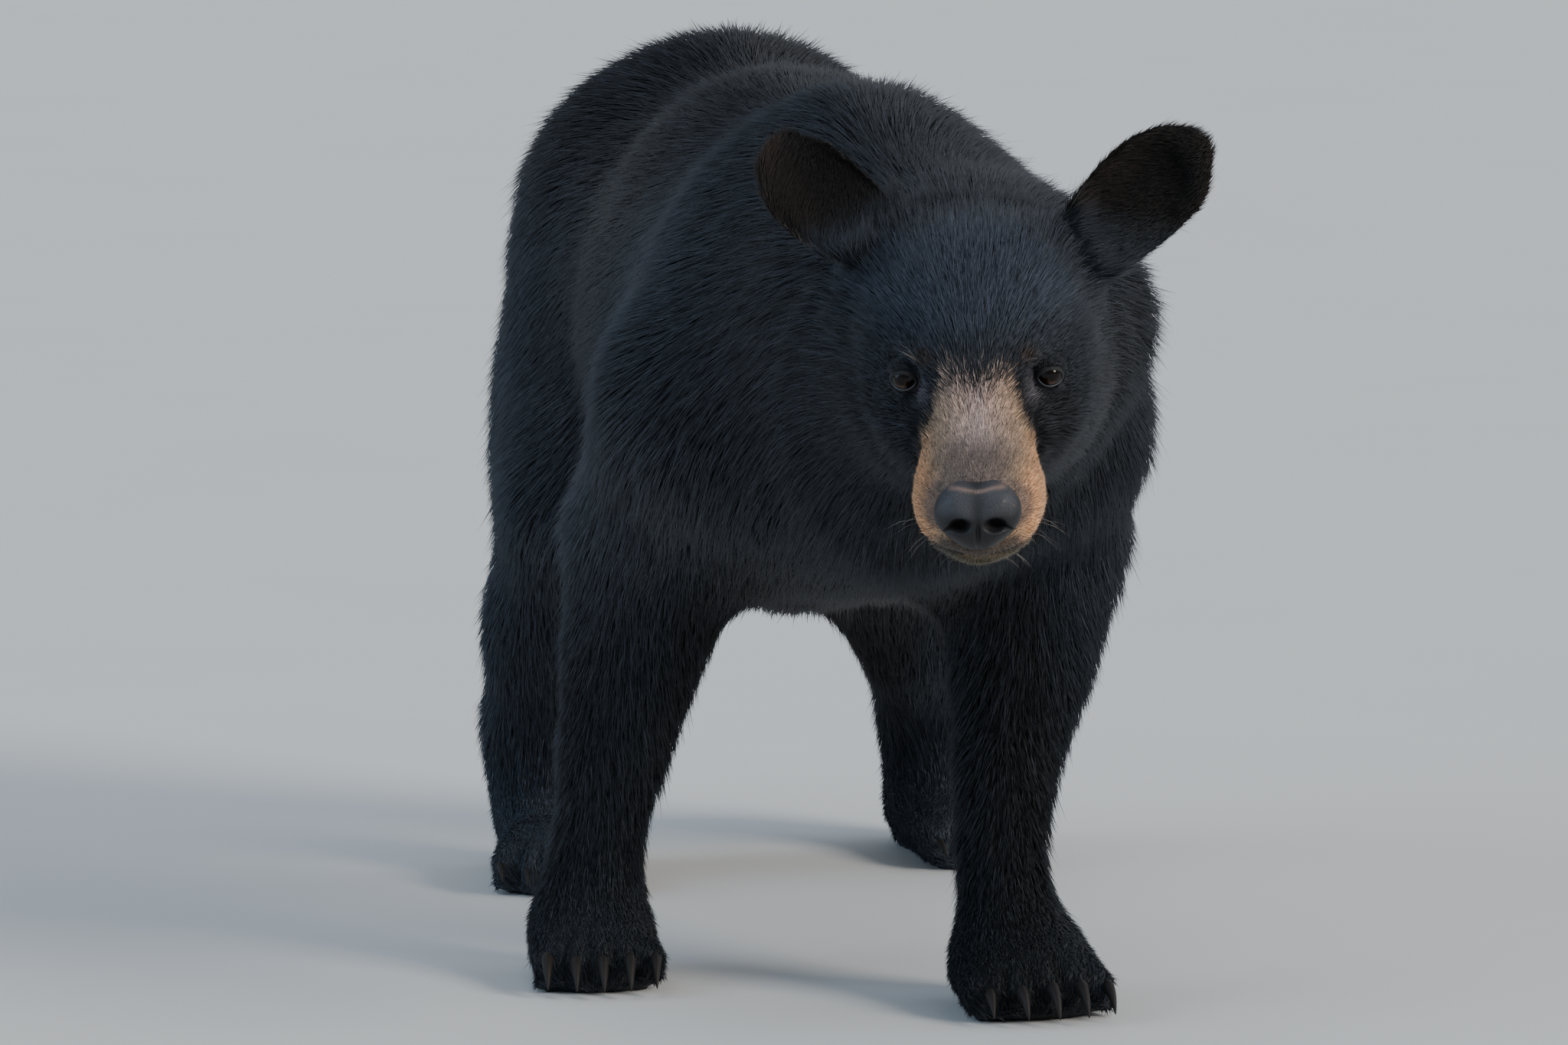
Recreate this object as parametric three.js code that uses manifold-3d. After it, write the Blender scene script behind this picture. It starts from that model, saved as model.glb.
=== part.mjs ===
// A young American black bear, standing still, as a life-size museum model.
// Millimetres, +Z up, the bear faces -Y and its left side is +X. The soles stand on Z = 0 and the
// origin is under the middle of the whole animal. Surfaces are those of the coat, out to the hair tips.
// The body is one smooth field of blended ellipsoids and tapered limbs, turned into closed
// surfaces and parted with thin cuts where an anatomist would name its parts.
import * as THREE from "three";
import Module from "manifold-3d";

const wasm = await Module();
wasm.setup();

// ---------------------------------------------------------------- driving dimensions
const WITHERS = 602; // height of the shoulders over the coat
const EYE_SPACING = 87.6;
const EYE_RADIUS = 10.5;
const EAR_LENGTH = 110;
const EAR_WIDTH = 69;
const EAR_THICKNESS = 16;
const NOSE_WIDTH = 50;
const FOREPAW_WIDTH = 92;
const HINDPAW_WIDTH = 84;
const CLAW_FORE = 27; // length of a fore claw beyond the toe
const CLAW_HIND = 17;
const GAP = 0.5; // width of the cuts between parts
const TINY = 0.2; // edges and steps below this are closed up
const CLEAR = 0.45; // play between a part and the piece set into it

// Cell sizes of the surface mesh, from coarse on the trunk to fine on the nose, and how far the
// surface may move when its flatter parts are made of fewer facets.
const CELL = { trunk: 46, neck: 38, limb: 30, paw: 17.5, head: 15.5, tail: 22, nose: 10.5 };
const EASE = { trunk: 2.2, neck: 1.6, limb: 1.2, paw: 0.9, head: 0.8, tail: 1, nose: 0.5 };

// ---------------------------------------------------------------- materials
const material = (color, roughness) =>
  new THREE.MeshStandardMaterial({ color, roughness, metalness: 0, flatShading: true });
const COAT = material(0x17171b, 0.75);
const MUZZLE_COAT = material(0x7a5a42, 0.7);
const EAR_COAT = material(0x141214, 0.8);
const NOSE_SKIN = material(0x26282e, 0.4);
const EYE = material(0x1d100a, 0.08);
const CLAW = material(0x1c1815, 0.45);

// ---------------------------------------------------------------- fields
// A field is a function of x, y, z: below zero inside, about the distance in millimetres near the surface.
const ellipsoid = ([cx, cy, cz], [rx, ry, rz]) => (x, y, z) => {
  const px = (x - cx) / rx;
  const py = (y - cy) / ry;
  const pz = (z - cz) / rz;
  const near = Math.hypot(px, py, pz);
  const slope = Math.hypot(px / rx, py / ry, pz / rz);
  return slope > 1e-9 ? (near * (near - 1)) / slope : -Math.min(rx, ry, rz);
};

// A tapered rod from a to b with round ends.
const rod = ([ax, ay, az], ra, [bx, by, bz], rb) => {
  const dx = bx - ax;
  const dy = by - ay;
  const dz = bz - az;
  const length2 = dx * dx + dy * dy + dz * dz;
  return (x, y, z) => {
    const share = ((x - ax) * dx + (y - ay) * dy + (z - az) * dz) / length2;
    const t = Math.min(1, Math.max(0, share));
    return Math.hypot(x - ax - t * dx, y - ay - t * dy, z - az - t * dz) - ra - t * (rb - ra);
  };
};

const blendTwo = (a, b, k) => {
  const h = Math.max(k - Math.abs(a - b), 0) / k;
  return Math.min(a, b) - (h * h * k) / 4;
};
const blend = (k, ...fields) => (x, y, z) =>
  fields.reduce((least, field) => blendTwo(least, field(x, y, z), k), 1e6);
const union = (...fields) => (x, y, z) => Math.min(...fields.map((field) => field(x, y, z)));
const carve = (field, tool, k) => (x, y, z) => -blendTwo(-field(x, y, z), tool(x, y, z), k);

// Joints given as [x, y, z, radius], joined by tapered rods.
const limb = (k, ...joints) =>
  blend(k, ...joints.slice(1).map((b, i) => rod(joints[i], joints[i][3], b, b[3])));

// A field given in the frame of a turned and moved holder.
const placed = (field, holder) => {
  const m = holder.clone().invert().elements;
  return (x, y, z) =>
    field(
      m[0] * x + m[4] * y + m[8] * z + m[12],
      m[1] * x + m[5] * y + m[9] * z + m[13],
      m[2] * x + m[6] * y + m[10] * z + m[14],
    );
};
const frameAt = (position, degrees, order = "ZXY") =>
  new THREE.Matrix4().compose(
    new THREE.Vector3(...position),
    new THREE.Quaternion().setFromEuler(
      new THREE.Euler(...degrees.map(THREE.MathUtils.degToRad), order),
    ),
    new THREE.Vector3(1, 1, 1),
  );
const bothSides = (make) => [make(-1), make(1)];

// ---------------------------------------------------------------- trunk and neck
// The spine bends a little to the bear's left towards the head.
const TRUNK = blend(
  44,
  ellipsoid([-11, 490, 398], [153, 200, 197]), // rump
  ellipsoid([-80, 470, 468], [74, 112, 82]), // right hip, higher than the left one
  ellipsoid([0, 265, 401], [144, 270, 186]), // barrel
  ellipsoid([6, 20, 420], [133, 165, 168]), // chest
  ellipsoid([10, -5, 513], [56, 110, WITHERS - 520]), // withers
  ellipsoid([3, 135, 462], [92, 120, 106]), // saddle behind the withers
  ...bothSides((s) => ellipsoid([3 + s * 66, 115, 398], [72, 118, 112])), // ribs behind the shoulders
);
const NECK = blend(
  36,
  limb(40, [14, -40, 438, 122], [27, -115, 440, 120], [42, -178, 446, 106]),
  ellipsoid([54, -190, 458], [118, 60, 86]), // ruff behind the cheeks
  ellipsoid([26, -110, 362], [112, 92, 80]), // dewlap and breast
);

// ---------------------------------------------------------------- legs
// Each side: [x, y, z, radius] down the limb. The left fore foot is a short step ahead.
const FORE_JOINTS = {
  right: [
    [-44, 22, 488, 62],
    [-92, -40, 392, 80],
    [-114, 76, 292, 63],
    [-130, 88, 217, 46],
    [-143, 96, 150, 36],
    [-151, 102, 92, 31],
    [-158, 104, 52, 36],
  ],
  left: [
    [56, 10, 484, 62],
    [108, -62, 388, 80],
    [124, 8, 292, 60],
    [113, -2, 217, 47],
    [99, -22, 150, 34],
    [93, -36, 92, 30],
    [101, -42, 52, 36],
  ],
};
const HIND_JOINTS = {
  right: [
    [-48, 490, 400, 88],
    [-104, 412, 285, 73],
    [-122, 512, 178, 56],
    [-131, 558, 96, 44],
    [-133, 552, 46, 37],
  ],
  left: [
    [48, 500, 400, 88],
    [108, 432, 285, 70],
    [137, 540, 178, 56],
    [156, 616, 96, 44],
    [159, 620, 46, 38],
  ],
};
const THIGHS = {
  right: ellipsoid([-88, 505, 300], [91, 128, 128]),
  left: ellipsoid([86, 520, 300], [91, 128, 128]),
};
// Feet: middle of the sole, how far the foot is turned outwards in degrees.
const FEET = {
  fore_right: { at: [-158, 80], turn: 2, side: -1, width: FOREPAW_WIDTH - 4 },
  fore_left: { at: [104, -66], turn: 7, side: 1, width: FOREPAW_WIDTH + 8 },
  hind_right: { at: [-133, 500], turn: 8, side: -1, width: HINDPAW_WIDTH },
  hind_left: { at: [160, 576], turn: 10, side: 1, width: HINDPAW_WIDTH },
};
const TOES = [-2, -1, 0, 1, 2];

// The frame of a foot: its own -Y points to the toes.
const footFrame = ({ at, turn, side }) => frameAt([at[0], at[1], 0], [0, 0, turn * side]);
const forefoot = (foot) => {
  const half = foot.width / 2;
  const toes = TOES.map((i) =>
    ellipsoid([i * half * 0.4, -45 + 2.6 * i * i, 17], [half * 0.27, 22, 18]),
  );
  const pad = ellipsoid([0, 2, 25], [half, 56, 34]);
  return placed(blend(13, pad, blend(5, ...toes)), footFrame(foot));
};
const hindfoot = (foot) => {
  const half = foot.width / 2;
  const toes = TOES.map((i) =>
    ellipsoid([i * half * 0.4, -64 + 2.8 * i * i, 16], [half * 0.27, 20, 17]),
  );
  const ball = ellipsoid([0, -20, 22], [half, 54, 30]);
  const heel = ellipsoid([0, 44, 24], [half * 0.82, 46, 32]);
  return placed(blend(14, blend(24, ball, heel), blend(5, ...toes)), footFrame(foot));
};
const FORELEG = {};
const HINDLEG = {};
for (const side of ["right", "left"]) {
  FORELEG[side] = blend(26, limb(26, ...FORE_JOINTS[side]), forefoot(FEET[`fore_${side}`]));
  HINDLEG[side] = blend(
    28,
    limb(34, ...HIND_JOINTS[side]),
    THIGHS[side],
    hindfoot(FEET[`hind_${side}`]),
  );
}

// ---------------------------------------------------------------- head
// The head's own frame: origin between the eyes, -Y to the nose, palate level.
const HEAD_FRAME = frameAt([31, -330, 444.5], [19.4, -1.9, -9.6]);
const MOUTH_LEVEL = -77;
const faceField = blend(
  20,
  ellipsoid([0, 66, 8], [70, 82, 74]), // braincase
  ellipsoid([0, 18, 4], [45, 52, 34]), // forehead down to the stop
  blend(20, ...bothSides((s) => ellipsoid([s * 39, 46, -26], [39, 56, 50]))), // cheeks
  rod([0, -8, -37], 36, [0, -64, -53], 33), // muzzle
  ellipsoid([0, -62, -56], [39, 42, 31]), // lips
  ellipsoid([0, -38, -71], [31, 58, 24]), // lower jaw
  ellipsoid([0, 60, -62], [54, 60, 36]), // throat
);
const sockets = union(
  ...bothSides((s) => ellipsoid([(s * EYE_SPACING) / 2 + s * 1, -13, 1], [12.5, 12, 9.5])),
);
const HEAD = placed(carve(faceField, sockets, 9), HEAD_FRAME);

// A cupped ear, its own frame at the root: Z to the tip, hollow side to -Y. Rings of points run
// round the blade from the root to the tip.
const EAR_CUP = 0.0075; // how strongly the ear bends round its long axis
const EAR_LEVELS = [-0.3, -0.1, 0.1, 0.3, 0.5, 0.66, 0.8, 0.91, 0.98];
const EAR_ROUND = 14;
const earHalfWidth = (t) =>
  t < 0.56
    ? 0.8 + 0.2 * Math.sin((t / 0.56) * (Math.PI / 2))
    : Math.sqrt(1 - ((t - 0.56) / 0.44) ** 2.3);
const earRings = (length, width) =>
  EAR_LEVELS.map((t) => {
    const half = (earHalfWidth(t) * width) / 2;
    const thick = (EAR_THICKNESS / 2) * (1.5 - 0.7 * t) * (t > 0.9 ? 0.8 : 1);
    return Array.from({ length: EAR_ROUND }, (_, n) => {
      const turn = (n / EAR_ROUND) * 2 * Math.PI;
      const x = half * Math.cos(turn);
      const bow = 10 * Math.sin(Math.PI * t) - EAR_CUP * x * x * (0.35 + 0.65 * t);
      return [x, bow + thick * Math.sin(turn), t * length];
    });
  });
// The ear's root in the head's frame, and its turn: forward tilt, outward lean, turn about its length.
const EARS = {
  right: { at: [-49, 80, 42], turn: [-6, -48, 36], length: EAR_LENGTH + 2, width: EAR_WIDTH - 2 },
  left: { at: [66, 78, 43], turn: [-6, 47, -12], length: EAR_LENGTH, width: EAR_WIDTH },
};
for (const one of Object.values(EARS)) {
  one.frame = HEAD_FRAME.clone().multiply(frameAt(one.at, one.turn, "YXZ"));
}

// The nose pad, with its nostrils, and the eyeballs.
const NOSE_CENTRE = [0, -101, -48];
const nosePad = blend(
  10,
  ellipsoid(NOSE_CENTRE, [NOSE_WIDTH / 2 - 1, 14, 20]),
  ...bothSides((s) => ellipsoid([s * 13, -105, -47], [11, 10, 14])),
);
const NOSE = placed(nosePad, HEAD_FRAME);
const eyeCentre = (s) => [(s * EYE_SPACING) / 2, -2.5, 0];

const TAIL = limb(10, [0, 640, 505, 30], [-1, 684, 462, 24], [-2, 697, 418, 12]);

const HEADLESS = blend(54, TRUNK, NECK);
const BODY = (() => {
  const legs = blend(1, FORELEG.right, FORELEG.left, HINDLEG.right, HINDLEG.left);
  return blend(52, blend(40, HEADLESS, legs), HEAD);
})();

// ---------------------------------------------------------------- surfaces
const CORNERS = [0, 1, 2, 3, 4, 5, 6, 7].map((i) => [i & 1, (i >> 1) & 1, i >> 2]);

// Moves a point onto the field's surface.
function settle(field, point) {
  const step = 0.5;
  for (let turn = 0; turn < 4; turn++) {
    const [x, y, z] = point;
    const value = field(x, y, z);
    const slope = [
      (field(x + step, y, z) - field(x - step, y, z)) / (2 * step),
      (field(x, y + step, z) - field(x, y - step, z)) / (2 * step),
      (field(x, y, z + step) - field(x, y, z - step)) / (2 * step),
    ];
    const steep = Math.max(0.2, slope[0] ** 2 + slope[1] ** 2 + slope[2] ** 2);
    const move = Math.min(6, Math.max(-6, value)) / steep;
    for (let k = 0; k < 3; k++) point[k] -= move * slope[k];
  }
  return point;
}

// The closed surface of a field inside a box, by surface nets: one vertex in each cell that the
// surface crosses, settled onto the field, and one quad over each grid edge that changes side.
function surface(field, low, high, kind) {
  const cell = CELL[kind];
  const count = low.map((l, k) => Math.ceil((high[k] - l) / cell) + 3);
  const at = (k, i) => low[k] + (i - 1) * cell;
  const middle = low.map((l, k) => (l + high[k]) / 2);
  const reach = low.map((l, k) => (high[k] - l) / 2);
  const boxed = (x, y, z) =>
    Math.max(
      field(x, y, z),
      Math.abs(x - middle[0]) - reach[0],
      Math.abs(y - middle[1]) - reach[1],
      Math.abs(z - middle[2]) - reach[2],
    );
  const key = (i, j, k) => (k * count[1] + j) * count[0] + i;
  const value = new Float64Array(count[0] * count[1] * count[2]);
  for (let k = 0; k < count[2]; k++)
    for (let j = 0; j < count[1]; j++)
      for (let i = 0; i < count[0]; i++) value[key(i, j, k)] = boxed(at(0, i), at(1, j), at(2, k));
  const vertexOf = new Map();
  const points = [];
  const vertex = (i, j, k) => {
    const id = key(i, j, k);
    if (vertexOf.has(id)) return vertexOf.get(id);
    const sum = [0, 0, 0];
    let crossings = 0;
    for (const a of CORNERS)
      for (let axis = 0; axis < 3; axis++) {
        if (a[axis]) continue;
        const b = a.map((c, n) => (n === axis ? 1 : c));
        const va = value[key(i + a[0], j + a[1], k + a[2])];
        const vb = value[key(i + b[0], j + b[1], k + b[2])];
        if (va < 0 === vb < 0) continue;
        const t = va / (va - vb);
        [i, j, k].forEach((cellIndex, n) => {
          sum[n] += at(n, cellIndex + a[n] + (n === axis ? t : 0));
        });
        crossings++;
      }
    const point = sum.map((s) => s / crossings);
    points.push(...settle(boxed, point));
    vertexOf.set(id, points.length / 3 - 1);
    return points.length / 3 - 1;
  };
  const triangles = [];
  const apart = (a, b) =>
    Math.hypot(...[0, 1, 2].map((n) => points[3 * a + n] - points[3 * b + n]));
  for (let k = 1; k < count[2] - 1; k++)
    for (let j = 1; j < count[1] - 1; j++)
      for (let i = 1; i < count[0] - 1; i++)
        for (let axis = 0; axis < 3; axis++) {
          const step = [0, 1, 2].map((n) => (n === axis ? 1 : 0));
          const here = value[key(i, j, k)] < 0;
          if (here === value[key(i + step[0], j + step[1], k + step[2])] < 0) continue;
          const [u, v] = [(axis + 1) % 3, (axis + 2) % 3];
          const ring = [[0, 0], [1, 0], [1, 1], [0, 1]].map(([du, dv]) => {
            const c = [i, j, k];
            c[u] -= du;
            c[v] -= dv;
            return vertex(...c);
          });
          if (!here) ring.reverse();
          const [a, b, c, d] = ring;
          const split = apart(a, c) < apart(b, d);
          triangles.push(...(split ? [a, b, c, a, c, d] : [a, b, d, b, c, d]));
        }
  return solid(new Float32Array(points), new Uint32Array(triangles)).simplify(EASE[kind]);
}

// ---------------------------------------------------------------- solids
function solid(vertProperties, triVerts) {
  return new wasm.Manifold(new wasm.Mesh({ numProp: 3, vertProperties, triVerts }));
}
function solidOfGeometry(geometry) {
  const { position } = geometry.attributes;
  const index = [...geometry.index.array];
  const found = new Map();
  const kept = [];
  const merged = index.map((i) => {
    const p = [position.getX(i), position.getY(i), position.getZ(i)];
    const name = p.map((c) => c.toFixed(3)).join();
    if (!found.has(name)) {
      found.set(name, kept.length / 3);
      kept.push(...p);
    }
    return found.get(name);
  });
  const triangles = [];
  for (let i = 0; i < merged.length; i += 3) {
    const [a, b, c] = merged.slice(i, i + 3);
    if (a !== b && b !== c && a !== c) triangles.push(a, b, c);
  }
  return solid(new Float32Array(kept), new Uint32Array(triangles));
}
// A box from its low to its high corner, grown by `grow`, in an optional frame.
function block(low, high, grow = 0, frame = new THREE.Matrix4()) {
  const size = low.map((l, k) => high[k] - l + 2 * grow);
  const geometry = new THREE.BoxGeometry(...size);
  geometry.translate(...low.map((l, k) => (l + high[k]) / 2));
  return solidOfGeometry(geometry.applyMatrix4(frame));
}
function ball(centre, radius, frame, detail = 9) {
  const geometry = new THREE.SphereGeometry(radius, detail, Math.round(detail * 0.7));
  return solidOfGeometry(geometry.rotateX(Math.PI / 2).translate(...centre).applyMatrix4(frame));
}
// A closed solid through rings of points, each ring closed and all of one count.
function loft(rings, frame) {
  const round = rings[0].length;
  const middle = (ring) => [0, 1, 2].map((k) => ring.reduce((sum, p) => sum + p[k], 0) / round);
  const points = [...rings.flat(), middle(rings[0]), middle(rings[rings.length - 1])];
  const triangles = [];
  const first = rings.length * round;
  const topRow = first - round;
  for (let n = 0; n < round; n++) {
    const next = (n + 1) % round;
    for (let row = 0; row < topRow; row += round) {
      triangles.push(row + n, row + next, row + round + next);
      triangles.push(row + n, row + round + next, row + round + n);
    }
    triangles.push(first, next, n);
    triangles.push(first + 1, topRow + n, topRow + next);
  }
  const placedPoints = points.flatMap((p) => new THREE.Vector3(...p).applyMatrix4(frame).toArray());
  return solid(new Float32Array(placedPoints), new Uint32Array(triangles));
}
// The largest body of a solid, without crumbs left by a cut.
function mainBody(made) {
  const bodies = made.decompose();
  return bodies.reduce((most, body) => (body.volume() > most.volume() ? body : most));
}

// A solid with room cut round a neighbour, which is moved a little to each side for the cut.
function clearOf(made, neighbour) {
  const moves = [0, 1, 2].flatMap((k) =>
    [-CLEAR, CLEAR].map((move) => [0, 1, 2].map((n) => (n === k ? move : 0))),
  );
  return moves.reduce((rest, move) => rest.subtract(neighbour.translate(move)), made);
}

const bear = new THREE.Group();
const added = {}; // the solids by name
function add(name, made, look) {
  added[name] = mainBody(made).simplify(TINY);
  const mesh = added[name].getMesh();
  const geometry = new THREE.BufferGeometry();
  geometry.setAttribute("position", new THREE.BufferAttribute(mesh.vertProperties, 3));
  geometry.setIndex(new THREE.BufferAttribute(mesh.triVerts, 1));
  geometry.computeVertexNormals();
  const part = new THREE.Mesh(geometry, look);
  part.name = name;
  bear.add(part);
}

// ---------------------------------------------------------------- where the body is parted
const FAR = 1000;
const HEAD_BACK = 92; // the head ends and the neck begins, in the head's frame
const MUZZLE_BACK = -26;
const CHEST_FRONT = -118;
const CHEST_BACK = 150;
const RUMP_FRONT = 385;
const headBox = (grow) => block([-200, -200, -200], [200, HEAD_BACK, 200], grow, HEAD_FRAME);

// A leg's share of the body: a box that leans in under the trunk.
function legBox(joints, side, front, back, grow) {
  const [x, , z] = joints[0];
  const inner = joints[1][0] * side - 8;
  const lean = frameAt([inner * side, 0, joints[1][2]], [0, 17 * side, 0]);
  const top = z - joints[1][2] - 62;
  return block([side < 0 ? -300 : 0, front, -600], [side < 0 ? 0 : 300, back, top], grow, lean);
}
const SIDES = { right: -1, left: 1 };
const foreBox = (side, grow) =>
  legBox(FORE_JOINTS[side], SIDES[side], FORE_JOINTS[side][1][1] - 130, 205, grow);
const hindBox = (side, grow) =>
  legBox(HIND_JOINTS[side], SIDES[side], HIND_JOINTS[side][1][1] - 92, FAR, grow);
const allLegBoxes = ["right", "left"].flatMap((side) => [foreBox(side, GAP), hindBox(side, GAP)]);
const withoutLegs = (made) => allLegBoxes.reduce((rest, box) => rest.subtract(box), made);

// Eyeballs are set into sockets cut in the head.
const eyeSockets = bothSides((s) => ball(eyeCentre(s), EYE_RADIUS + CLEAR, HEAD_FRAME));
const lidOpening = bothSides((s) =>
  block([-9, -40, -6.5], [9, 0, 6.5], 0, HEAD_FRAME.clone().multiply(
    new THREE.Matrix4().makeTranslation(...eyeCentre(s)))),
);

function addTrunk() {
  const whole = surface(BODY, [-215, -150, 150], [215, 720, 640], "trunk");
  const bare = withoutLegs(whole);
  const slice = (from, to) =>
    bare.intersect(block([-FAR, from + GAP / 2, -FAR], [FAR, to - GAP / 2, FAR]));
  add("chest", slice(CHEST_FRONT, CHEST_BACK), COAT);
  add("trunk", slice(CHEST_BACK, RUMP_FRONT), COAT);
  add("rump", slice(RUMP_FRONT, FAR), COAT);
  const tail = surface(TAIL, [-50, 580, 380], [50, 740, 560], "tail");
  add("tail", clearOf(tail, added.rump), COAT);
}

function addNeck() {
  const made = surface(BODY, [-190, -360, 180], [250, CHEST_FRONT + 40, 660], "neck")
    .intersect(block([-FAR, -FAR, -FAR], [FAR, CHEST_FRONT - GAP / 2, FAR]))
    .subtract(headBox(GAP));
  add("neck", withoutLegs(made), COAT);
}

// One leg in three parts, cut level at the heights given.
function addLeg(names, side, joints, box, cuts) {
  const y = joints.map((j) => j[1]);
  const [left, right] = SIDES[side] < 0 ? [-260, 10] : [-10, 260];
  const low = [left, Math.min(...y) - 190, -40];
  const high = [right, Math.max(...y) + 215, 600];
  const upper = surface(BODY, low, high, "limb").intersect(box);
  const lower = surface(BODY, low, [right, high[1], cuts[1] + 30], "paw").intersect(box);
  const level = [FAR, ...cuts, -GAP / 2];
  names.forEach((name, n) => {
    const room = block([-FAR, -FAR, level[n + 1] + GAP / 2], [FAR, FAR, level[n] - GAP / 2]);
    add(`${name}_${side}`, (n < 2 ? upper : lower).intersect(room), COAT);
  });
}
const FORE_CUTS = [262, 70];
const HIND_CUTS = [232, 76];
function addLegs() {
  for (const side of Object.keys(SIDES)) {
    addLeg(["upper_arm", "forearm", "forepaw"], side, FORE_JOINTS[side], foreBox(side, 0), FORE_CUTS);
    addLeg(["thigh", "shank", "hindpaw"], side, HIND_JOINTS[side], hindBox(side, 0), HIND_CUTS);
  }
}

// Claws are short curved horns, flattened from side to side, one at each toe.
const CLAW_ROUND = 5;
function claw([x, y, z], length, thick, frame) {
  const rings = [0, 0.5, 0.97].map((t) => {
    const radius = thick * (1 - 0.85 * t);
    return Array.from({ length: CLAW_ROUND }, (_, n) => {
      const turn = (n / CLAW_ROUND) * 2 * Math.PI;
      const rise = radius * Math.sin(turn);
      return [
        x + 0.75 * radius * Math.cos(turn),
        y - 0.86 * length * t + 0.4 * rise * t,
        z + rise - 0.4 * length * t * t,
      ];
    });
  });
  return loft(rings, frame);
}
function addClaws() {
  for (const [foot, set] of Object.entries(FEET)) {
    const fore = foot.startsWith("fore");
    const start = fore ? -61 : -78;
    const frame = footFrame(set);
    const paw = foot.replace("_", "paw_");
    for (const i of TOES) {
      const root = [i * set.width * 0.2, start + 2.7 * i * i, 19];
      const made = claw(root, fore ? CLAW_FORE : CLAW_HIND, fore ? 4.8 : 4.3, frame);
      add(`claw_${paw}_${i + 3}`, clearOf(made, added[paw]), CLAW);
    }
  }
}

function addHead() {
  const [x, y, z] = new THREE.Vector3().setFromMatrixPosition(HEAD_FRAME);
  const low = [x - 150, y - 175, z - 175];
  const high = [x + 150, y + 190, z + 165];
  const carved = [...eyeSockets, ...lidOpening].reduce(
    (rest, tool) => rest.subtract(tool),
    surface(BODY, low, high, "head").intersect(headBox(0)),
  );
  const front = (lowest, highest, grow) =>
    block([-150, -200, lowest], [150, MUZZLE_BACK, highest], grow, HEAD_FRAME);
  add("head", carved.subtract(front(-200, 200, GAP)), COAT);
  add("muzzle", carved.intersect(front(MOUTH_LEVEL, 200, 0)), MUZZLE_COAT);
  add("lower_jaw", carved.intersect(front(-200, MOUTH_LEVEL - GAP, 0)), MUZZLE_COAT);

  for (const [side, one] of Object.entries(EARS)) {
    const made = loft(earRings(one.length, one.width), one.frame);
    add(`ear_${side}`, clearOf(clearOf(made, added.head), added.neck), EAR_COAT);
  }
  const [nx, ny, nz] = new THREE.Vector3(...NOSE_CENTRE).applyMatrix4(HEAD_FRAME);
  const nose = surface(NOSE, [nx - 40, ny - 40, nz - 40], [nx + 40, ny + 40, nz + 40], "nose");
  add("nose", clearOf(nose, added.muzzle), NOSE_SKIN);
  for (const [side, sign] of Object.entries(SIDES)) {
    add(`eye_${side}`, ball(eyeCentre(sign), EYE_RADIUS, HEAD_FRAME), EYE);
  }
}

addTrunk();
addNeck();
addLegs();
addClaws();
addHead();

// The origin goes under the middle of the whole animal, at the level of the soles.
bear.updateMatrixWorld(true);
const bounds = new THREE.Box3().setFromObject(bear);
bear.position.set(
  -(bounds.min.x + bounds.max.x) / 2,
  -(bounds.min.y + bounds.max.y) / 2,
  -bounds.min.z,
);

export default bear;
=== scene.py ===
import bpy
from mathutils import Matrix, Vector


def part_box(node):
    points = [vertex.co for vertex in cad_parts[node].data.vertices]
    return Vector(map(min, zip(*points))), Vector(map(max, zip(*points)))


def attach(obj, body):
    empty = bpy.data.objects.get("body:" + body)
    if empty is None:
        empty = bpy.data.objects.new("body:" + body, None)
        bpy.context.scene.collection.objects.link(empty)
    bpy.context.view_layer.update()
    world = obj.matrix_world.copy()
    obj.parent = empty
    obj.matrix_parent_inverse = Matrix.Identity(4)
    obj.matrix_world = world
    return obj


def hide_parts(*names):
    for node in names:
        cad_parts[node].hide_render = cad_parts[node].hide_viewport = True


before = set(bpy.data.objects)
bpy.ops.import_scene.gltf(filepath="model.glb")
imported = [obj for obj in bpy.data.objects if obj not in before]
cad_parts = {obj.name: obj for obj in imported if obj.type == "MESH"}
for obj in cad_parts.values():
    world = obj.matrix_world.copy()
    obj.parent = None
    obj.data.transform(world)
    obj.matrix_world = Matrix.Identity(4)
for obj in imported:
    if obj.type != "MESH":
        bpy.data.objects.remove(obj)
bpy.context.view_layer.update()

import math

import bmesh
import bpy
import numpy as np
from bpy.props import FloatProperty, FloatVectorProperty, PointerProperty
from mathutils import Euler, Matrix, Vector, kdtree, noise
from mathutils.bvhtree import BVHTree

bl_info = {
    "name": "Black Bear Model",
    "version": (1, 0, 0),
    "blender": (4, 5, 0),
    "location": "View3D > Sidebar > Bear",
    "description": "Skin, coat, eyes, nose, claws and stage of a life-size black bear",
    "category": "Object",
}

MM = 0.001
SIDES = ("left", "right")
TOES = range(1, 6)

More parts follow.
